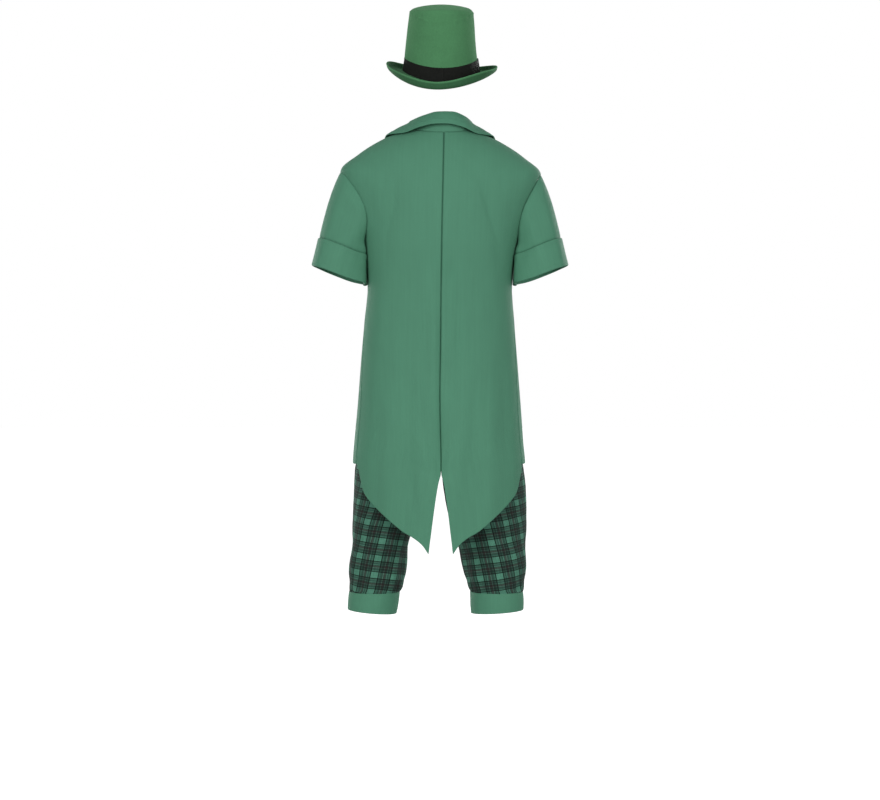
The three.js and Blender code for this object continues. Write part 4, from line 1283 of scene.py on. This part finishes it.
# The rows of a leg's grid: from which level to which, and how many.
LEG_ROWS = [(LEG_TOP, 840, 26), (836, 780, 22), (776, LEG_END + 8, 62)]
LEG_LEAN = {LEFT: 0.12, RIGHT: 0.13}


def leg_panel(side, front):
    level = np.concatenate([*(np.linspace(*rows) for rows in LEG_ROWS), LEG_END + EDGE_STEPS[::-1]])[:, None]
    share = mix(LEG_SEAM, 1 - LEG_SEAM, stations(44, 210))[None, :]
    middle = leg_point(side, share if front else share - 1, level)
    edges = {"start": ("seam", 1.0), "end": ("seam", 1.0), "bottom": ("seam", 0.7)}
    name = f"breeches_{'front' if front else 'back'}_{SIDE_NAMES[side]}"
    sew(name, middle, side, BREECHES_WALL, CHECK, edges, seed=5.3 + side, lean=LEG_LEAN[side],
        level_rows=True)


WAISTBAND = {"top": 1064, "bottom": 1028.6, "out": 160, "behind": 101, "ahead": 95}


def waistband():
    angle = mix(-math.pi / 2, 1.5 * math.pi, stations(110, 820))[None, :]
    level = mix(WAISTBAND["top"], WAISTBAND["bottom"], stations(8, 36)[:, None])
    depth = np.where(np.sin(angle) < 0, WAISTBAND["behind"], WAISTBAND["ahead"])
    x, y = WAISTBAND["out"] * np.cos(angle), depth * np.sin(angle)
    edges = {"start": ("seam", 0.6), "end": ("seam", 0.6), "bottom": ("seam", 0.5)}
    sew("breeches_waistband", points(x, y, level), 1, BAND_WALL, CHECK, edges, seed=3.3)


KNEE_BAND = {"top": 499.6, "bottom": 453, "depth_top": 63, "depth_bottom": 60}
# The middle and half of the width at the top and bottom, and how far the lower edge rises outwards.
KNEE_BANDS = {LEFT: (159.5, 61, 165, 58.5, 5), RIGHT: (137.5, 63.5, 139, 63, 4)}


def knee_band(side):
    """A plain band round the end of a leg, with its seam on the inside of the leg."""
    top_x, top_half, bottom_x, bottom_half, rise = KNEE_BANDS[side]
    v = stations(14, 46)[:, None]
    angle = round_angles(90, 390)
    out = mix(top_x, bottom_x, v) + mix(top_half, bottom_half, v) * np.cos(angle)
    depth = mix(KNEE_BAND["depth_top"], KNEE_BAND["depth_bottom"], v)
    level = mix(KNEE_BAND["top"], KNEE_BAND["bottom"] + rise * np.cos(angle), v)
    middle = on_side(side, points(out, -depth * np.sin(angle), level))
    swell = 0.7 * np.sin(math.pi * v) * (1 + 0.5 * np.sin(5 * angle + side) + 0.3 * np.sin(11 * angle))
    edges = {"start": ("seam", 0.8), "end": ("seam", 0.8)}
    name = "breeches_knee_band_" + SIDE_NAMES[side]
    sew(name, middle, side, BAND_WALL, SUITING, edges, seed=6.1 + side, relief=swell)


# Top hat, in its own upright frame before it is tilted
# angle is 0 at the wearer's right side and 90 at the front.
# sag lowers the base line at the back and front, lean lowers it on the right, and side_drop lowers the
# top's rim at the sides.
HAT = {"x": 3, "y": 0, "height": 1755, "tilt": math.radians(16), "sag": 8.5, "lean": 1.8, "side_drop": 5.5}
CROWN = table("rise half_width half_length", [
    [0, 92.5, 105],
    [12, 90, 102.5],
    [33, 87, 99.5],
    [80, 82.5, 96],
    [120, 79, 93.5],
    [150.5, 75.5, 91.5],
    [157, 73, 89.5],
    [160.5, 69, 85.5],
])
CROWN_TOP = 164
CROWN_RIM = 160.5
TIP_SEAM = 152
# Puckers round the seam of the tip.
TIP_WAVES = [(31, 1.1, 1), (47, 2, 0.7), (19, 0, 0.5)]
BAND_WIDTH = 30.5


def hat_place(p):
    """From the hat's own frame to the costume's."""
    y, z = p[..., 1], p[..., 2]
    cosine, sine = math.cos(HAT["tilt"]), math.sin(HAT["tilt"])
    turned = points(p[..., 0], y * cosine - z * sine, y * sine + z * cosine)
    return turned + [HAT["x"], HAT["y"], HAT["height"]]


def crown_point(angle, rise, out_by=0.0):
    rise = np.asarray(rise, float)
    base = HAT["sag"] * np.cos(2 * angle) - HAT["lean"] * np.cos(angle)
    drop = HAT["side_drop"] * np.cos(angle) ** 2 * ease(110, CROWN_RIM, rise)
    z = rise + base * ease(110, 0, rise) - drop
    x = (read(CROWN, "half_width", rise) + out_by) * np.cos(angle)
    return points(x, (read(CROWN, "half_length", rise) + out_by) * np.sin(angle), z)


def tip_gathers(angle, distance):
    """Uneven puckers where the tip is sewn to the side."""
    strength = 0.5 + 0.5 * np.abs(np.cos(angle)) ** 0.5
    return 0.55 * waves(angle, TIP_WAVES) * strength * bump(distance, 0, 8)


def hat_crown():
    angle = np.linspace(0, 2 * math.pi, 145)[None, :-1]
    rises = np.r_[np.linspace(0, 138, 40), np.linspace(140, CROWN_RIM, 22)][:, None]
    side_wall = crown_point(angle, rises)
    rim = side_wall[-1:]
    share = np.r_[np.linspace(0.985, 0.8, 8), np.linspace(0.72, 0.02, 14)][:, None]
    top = points(rim[..., 0] * share, rim[..., 1] * share, mix(CROWN_TOP, rim[..., 2], share**2))
    middle = np.concatenate([side_wall, top])
    run = run_along(middle, 0)
    seam_run = float(np.interp(TIP_SEAM, rises[:, 0], run[: len(rises), 0]))
    distance = np.abs(run - seam_run)
    # Soft dents from handling, which fade out towards the brim and the tip's seam.
    dents = 1.1 * np.sin(2 * angle + 0.6) * np.sin(run / 30 + angle)
    dents = dents + 0.8 * np.sin(3 * angle + 2) * np.sin(run / 47)
    seam = -0.9 * bump(distance, 0, 1.8) + tip_gathers(angle, distance)
    form = seam + dents * ease(0, 30, run) * ease(170, 120, run)
    sew("hat_crown", hat_place(middle), 1, FELT_WALL, FELT, closed=True, relief=form)

    piece = WALLS["hat_crown"][0]
    mesh = bmesh.new()
    mesh.from_mesh(piece.data)
    bmesh.ops.holes_fill(mesh, edges=[e for e in mesh.edges if e.is_boundary])
    mesh.to_mesh(piece.data)
    mesh.free()


# The brim's section from the crown to its curled rim, at the back and front, the left and the right:
# how far out and up each place lies.
BRIM = table("place end_out end_up left_out left_up right_out right_up", [
    [0, 0, 0, 0, 0, 0, 0],
    [1, 11, -5.5, 10, 0, 11, -0.8],
    [2, 23, -9.5, 20, 1, 21, -0.5],
    [3, 34.5, -11, 29, 3.5, 32, 1],
    [4, 42, -5, 35.5, 9, 39.5, 5],
    [5, 43.5, 6, 37.5, 17, 41.5, 12],
])
# How far the brim's edge dips at the back left, and rises at the back right.
BRIM_TWIST = 5
# How much further the rim curls up between the back and the sides, and from which place on.
BRIM_CURL = 6
BRIM_CURL_FROM = 3
BRIM_ROWS = 5
BRIM_WAVES = [(5, 1, 0.6), (3, 0, 0.5)]
# How much painted shade darkens the brim inside its paler rim, for its underside in shade.
BRIM_SHADE_DEPTH = 1.25


def brim_point(angle, place):
    angle, place = np.broadcast_arrays(angle, place)
    sides = (1 + np.cos(2 * angle)) / 2
    towards = ease(-0.35, 0.35, np.cos(angle))

    def section(way):
        end, left, right = (read(BRIM, f"{at}_{way}", place) for at in ("end", "left", "right"))
        return mix(end, mix(left, right, towards), sides)

    out = FELT_WALL / 2 + SEAM_GAP + section("out")
    p = crown_point(angle, 0 * angle, out)
    behind = (1 - np.sin(angle)) / 2
    twist = -np.sin(2 * angle) * behind * (place / BRIM_ROWS)
    curl = np.sin(2 * angle) ** 2 * behind**2 * ease(BRIM_CURL_FROM, BRIM_ROWS, place)
    return p + points(0, 0, FELT_WALL / 2 + section("up") + BRIM_TWIST * twist + BRIM_CURL * curl)


def hat_brim():
    angle = np.linspace(0, 2 * math.pi, 169)[None, :-1]
    middle = brim_point(angle, BRIM_ROWS * stations(30, 62)[:, None])
    form = waves(angle, BRIM_WAVES) * np.linspace(0, 1, len(middle))[:, None] ** 2
    # Painted shade over the whole brim except its rim's edge.
    brim_shade = np.broadcast_to(BRIM_SHADE_DEPTH * ease(1, 4, edge_distances(middle)["bottom"]), form.shape)
    sew("hat_brim", hat_place(middle), 1, FELT_WALL, FELT, closed=True, relief=form, pressed=brim_shade)


# Half of the angle that the ribbon's ends lap over, how far it dips there, and how far it stands off
# the crown, with the further height of the end that lies over the other.
BAND_LAP = 0.05
BAND_DIP = {"depth": 2.2, "spread": 0.12}
BAND_OFF = {"under": 2.2, "over": 1.3}


def hat_band():
    """A ribbon whose ends lap at the centre back, where it dips a little."""
    start, end = -math.pi / 2, 1.5 * math.pi
    angle = mix(start - BAND_LAP, end + BAND_LAP, stations(150, 590))[None, :]
    v = stations(10, BAND_WIDTH)[:, None]
    dip = BAND_DIP["depth"] * sum(bump(angle, at, BAND_DIP["spread"]) for at in (start, end))
    rise = FELT_WALL + SEAM_GAP + BAND_WIDTH * v
    lapped = BAND_OFF["over"] * ease(end - 3 * BAND_LAP, end - BAND_LAP, angle)
    middle = crown_point(angle, rise, RIBBON_WALL / 2 + BAND_OFF["under"] + lapped)
    middle[..., 2] -= dip * (1 - v)
    ripple = 0.3 * np.sin(9 * angle + 3 * v) + 0.25 * np.sin(17 * angle + 1)
    edges = {"start": ("seam", 0.5), "end": ("seam", 0.5)}
    sew("hat_band", hat_place(middle), -1, RIBBON_WALL, RIBBON, edges, relief=ripple)


for side in (LEFT, RIGHT):
    for make in (coat_back, coat_front, lapel, sleeve, cuff):
        make(side)
    leg_panel(side, False)
    leg_panel(side, True)
    knee_band(side)
for make in (collar, waistband, hat_crown, hat_brim, hat_band):
    make()
BUTTONS = [button(number) for number in (1, 2, 3)]


# Stitching: each run follows a line on a piece's face, and a stitch is a short rounded dash of thread.

STITCH = {"pitch": 3.1, "length": 2.2, "thickness": 0.5}
BUTTON_STITCH = {"pitch": 3.1, "length": 4.6, "thickness": 0.9}
STITCH_SIDES, STITCH_RINGS, STITCH_SEED = 6, 4, 7


def stitch_tree(thread):
    tree = bpy.data.node_groups.new("stitches_in_" + thread.name, "GeometryNodeTree")
    face = tree.interface
    face.new_socket(name="Lines", in_out="INPUT", socket_type="NodeSocketGeometry")
    for name in STITCH:
        face.new_socket(name=name, in_out="INPUT", socket_type="NodeSocketFloat")
    face.new_socket(name="Stitches", in_out="OUTPUT", socket_type="NodeSocketGeometry")
    given = add(tree, "NodeGroupInput").outputs
    path = add(tree, "GeometryNodeMeshToCurve", {"Mesh": given["Lines"]}).outputs[0]
    along = add(tree, "GeometryNodeCurveToPoints",
                {"Curve": path, "Length": given["pitch"]}, mode="LENGTH").outputs
    dash = add(tree, "GeometryNodeMeshUVSphere",
               {"Segments": STITCH_SIDES, "Rings": STITCH_RINGS, "Radius": 0.5}).outputs[0]
    uneven = add(tree, "FunctionNodeRandomValue", {2: 0.85, 3: 1.12, "Seed": STITCH_SEED}).outputs[1]
    length = add(tree, "ShaderNodeMath", {0: given["length"], 1: uneven}, operation="MULTIPLY").outputs[0]
    thick = given["thickness"]
    size = add(tree, "ShaderNodeCombineXYZ", {0: thick, 1: thick, 2: length}).outputs[0]
    turn = add(tree, "FunctionNodeAlignRotationToVector", {"Vector": along["Tangent"]}, axis="Z").outputs[0]
    placed = add(tree, "GeometryNodeInstanceOnPoints",
                 {"Points": along["Points"], "Instance": dash, "Rotation": turn, "Scale": size}).outputs[0]
    real = add(tree, "GeometryNodeRealizeInstances", {0: placed}).outputs[0]
    coloured = add(tree, "GeometryNodeSetMaterial", {"Geometry": real, "Material": thread}).outputs[0]
    add(tree, "NodeGroupOutput", {0: coloured})
    return tree


def stitches(name, lines, thread, sizes=STITCH):
    """One piece with all the stitches along some lines, given in the tables' millimetres."""
    counts = [len(line) for line in lines]
    starts = np.cumsum([0, *counts])
    edges = [(start + k, start + k + 1) for start, count in zip(starts, counts) for k in range(count - 1)]
    mesh = bpy.data.meshes.new(name)
    mesh.from_pydata(metres(np.concatenate(lines)).tolist(), edges, [])
    made = new_object(name, mesh)
    modifier = made.modifiers.new("stitches", "NODES")
    modifier.node_group = stitch_tree(thread)
    for socket in modifier.node_group.interface.items_tree:
        if socket.name in sizes:
            modifier[socket.identifier] = sizes[socket.name] * MM
    finished_mesh(made)
    made.data.polygons.foreach_set("use_smooth", [True] * len(made.data.polygons))
    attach(made, "root")


def stitch_line(name, edge, inset, below=math.inf):
    """The line on a wall's face at an inset from one of its edges, where it lies below a height."""
    _, outer, far = WALLS[name]
    far = far[edge]
    if edge in ("top", "bottom"):
        outer, far = outer.transpose(1, 0, 2), far.T
    if edge in ("bottom", "end"):
        outer, far = outer[:, ::-1], far[:, ::-1]
    line = np.array([[np.interp(inset, d, p[:, k]) for k in range(3)] for p, d in zip(outer, far)])
    return line[line[:, 2] < below]


# Each run of stitches: the pieces that have it, the edge that it follows and how far in from it. A
# number after these is the height below which it is sewn.
STITCHING = [
    ["coat_stitching", GREEN_THREAD, "coat_cloth", [
        ["coat_back_{side}", "bottom", 12.5],
        ["coat_back_{side}", "start", 9, VENT_LEVEL - 4],
        ["coat_front_{side}", "bottom", 12.5],
        ["coat_front_{side}", "start", 7, LAPEL_BREAK - 30],
        ["coat_lapel_{side}", "end", 5],
        ["coat_collar", "end", 5],
        ["coat_cuff_{side}", "top", 5],
    ]],
    ["knee_band_stitching", GREEN_THREAD, "coat_cloth", [
        ["breeches_knee_band_{side}", "top", 4],
        ["breeches_knee_band_{side}", "bottom", 4],
    ]],
    ["waistband_stitching", BLACK_THREAD, "check_cloth", [
        ["breeches_waistband", "top", 4],
        ["breeches_waistband", "bottom", 4],
    ]],
    ["brim_stitching", GREEN_THREAD, "hat_felt", [["hat_brim", "bottom", 5]]],
    ["ribbon_stitching", BLACK_THREAD, "hat_ribbon", [["hat_band", "end", 2]]],
]
for name, thread, slot, rows in STITCHING:
    lines = [
        stitch_line(piece, edge, *rest)
        for pieces, edge, *rest in rows
        for piece in dict.fromkeys(pieces.format(side=side) for side in SIDE_NAMES.values())
    ]
    stitches(name, lines, thread)


def button_bars(centre):
    """Two bars of thread over a button, each from one of its holes to the next."""
    middle = np.array(centre) / MM + [0, BUTTON["depth"] - 1.1, NECK_HEIGHT]
    starts = [middle + [0, 0, z * BUTTON["hole_out"]] for z in (-1, 1)]
    return [np.array([start, start + [0.5, 0, 0]]) for start in starts]


bars = [bar for centre in BUTTONS for bar in button_bars(centre)]
stitches("button_thread", bars, GREEN_THREAD, BUTTON_STITCH)


# Floor, light and camera

FLOOR = -NECK_HEIGHT * MM
FLOOR_RADIUS = 60
FLOOR_SIDES = 64


def studio_floor():
    """A wide pale floor that is seen as white as the backdrop, with a faint shadow near the costume."""
    mesh = bpy.data.meshes.new("studio_floor")
    turns = [2 * math.pi * k / FLOOR_SIDES for k in range(FLOOR_SIDES)]
    rim = [(FLOOR_RADIUS * math.cos(a), FLOOR_RADIUS * math.sin(a), FLOOR) for a in turns]
    mesh.from_pydata(rim, [], [tuple(range(FLOOR_SIDES))])
    material = bpy.data.materials.new("matt_white_paper")
    tree = empty_tree(material)
    paper = add(tree, "ShaderNodeBsdfDiffuse", {"Color": linear("#9A9A9A")})
    seen = add(tree, "ShaderNodeLightPath").outputs["Is Camera Ray"]
    glow = add(tree, "ShaderNodeEmission", {"Color": (1, 1, 1, 1), "Strength": seen})
    both = add(tree, "ShaderNodeAddShader", {0: paper.outputs[0], 1: glow.outputs[0]})
    add(tree, "ShaderNodeOutputMaterial", {"Surface": both.outputs[0]})
    mesh.materials.append(material)
    new_object("studio_floor", mesh)


studio_floor()


def area_light(name, place, size, watts):
    light = bpy.data.lights.new(name, "AREA")
    light.shape = "DISK"
    light.size = size
    light.energy = watts
    made = new_object(name, light)
    made.location = place
    made.rotation_euler = (LIT_PLACE - Vector(place)).to_track_quat("-Z", "Y").to_euler()


# Two large soft lights behind the costume, each with its place, its size in metres and its watts, and
# the same pair turned round before it.
LIT_PLACE = Vector((0, 0, -0.75))
SOFT_LIGHTS = [
    ["key", -2.7, -4.0, 0.6, 2.4, 98],
    ["fill", 2.7, -4.0, -0.1, 2.8, 86],
]
SKY_STRENGTH = 0.38
for prefix, turn in (("", 1), ("front_", -1)):
    for name, x, y, z, size, watts in SOFT_LIGHTS:
        area_light(prefix + name, (turn * x, turn * y, z), size, watts)

world = bpy.data.worlds.new("studio")
sky = empty_tree(world)
seen = add(sky, "ShaderNodeLightPath").outputs["Is Camera Ray"]
strength = add(sky, "ShaderNodeMapRange", {0: seen, 3: SKY_STRENGTH, 4: 1.0}).outputs[0]
backdrop = add(sky, "ShaderNodeBackground", {"Color": (1, 1, 1, 1), "Strength": strength})
add(sky, "ShaderNodeOutputWorld", {"Surface": backdrop.outputs[0]})
bpy.context.scene.world = world
bpy.context.scene.view_settings.view_transform = "Standard"

CAMERA_DISTANCE = 4.5
CAMERA_HEIGHT = 0.965
# The lens, in millimetres on a 36 mm sensor, that gives the photograph's frame.
LENS = 75.76
SENSOR = 36
camera = new_object("camera", bpy.data.cameras.new("camera"))
camera.data.sensor_width = SENSOR
camera.data.lens = LENS
camera.location = (0, -CAMERA_DISTANCE, FLOOR + CAMERA_HEIGHT)
camera.rotation_euler = (math.pi / 2, 0, 0)
bpy.context.scene.camera = camera
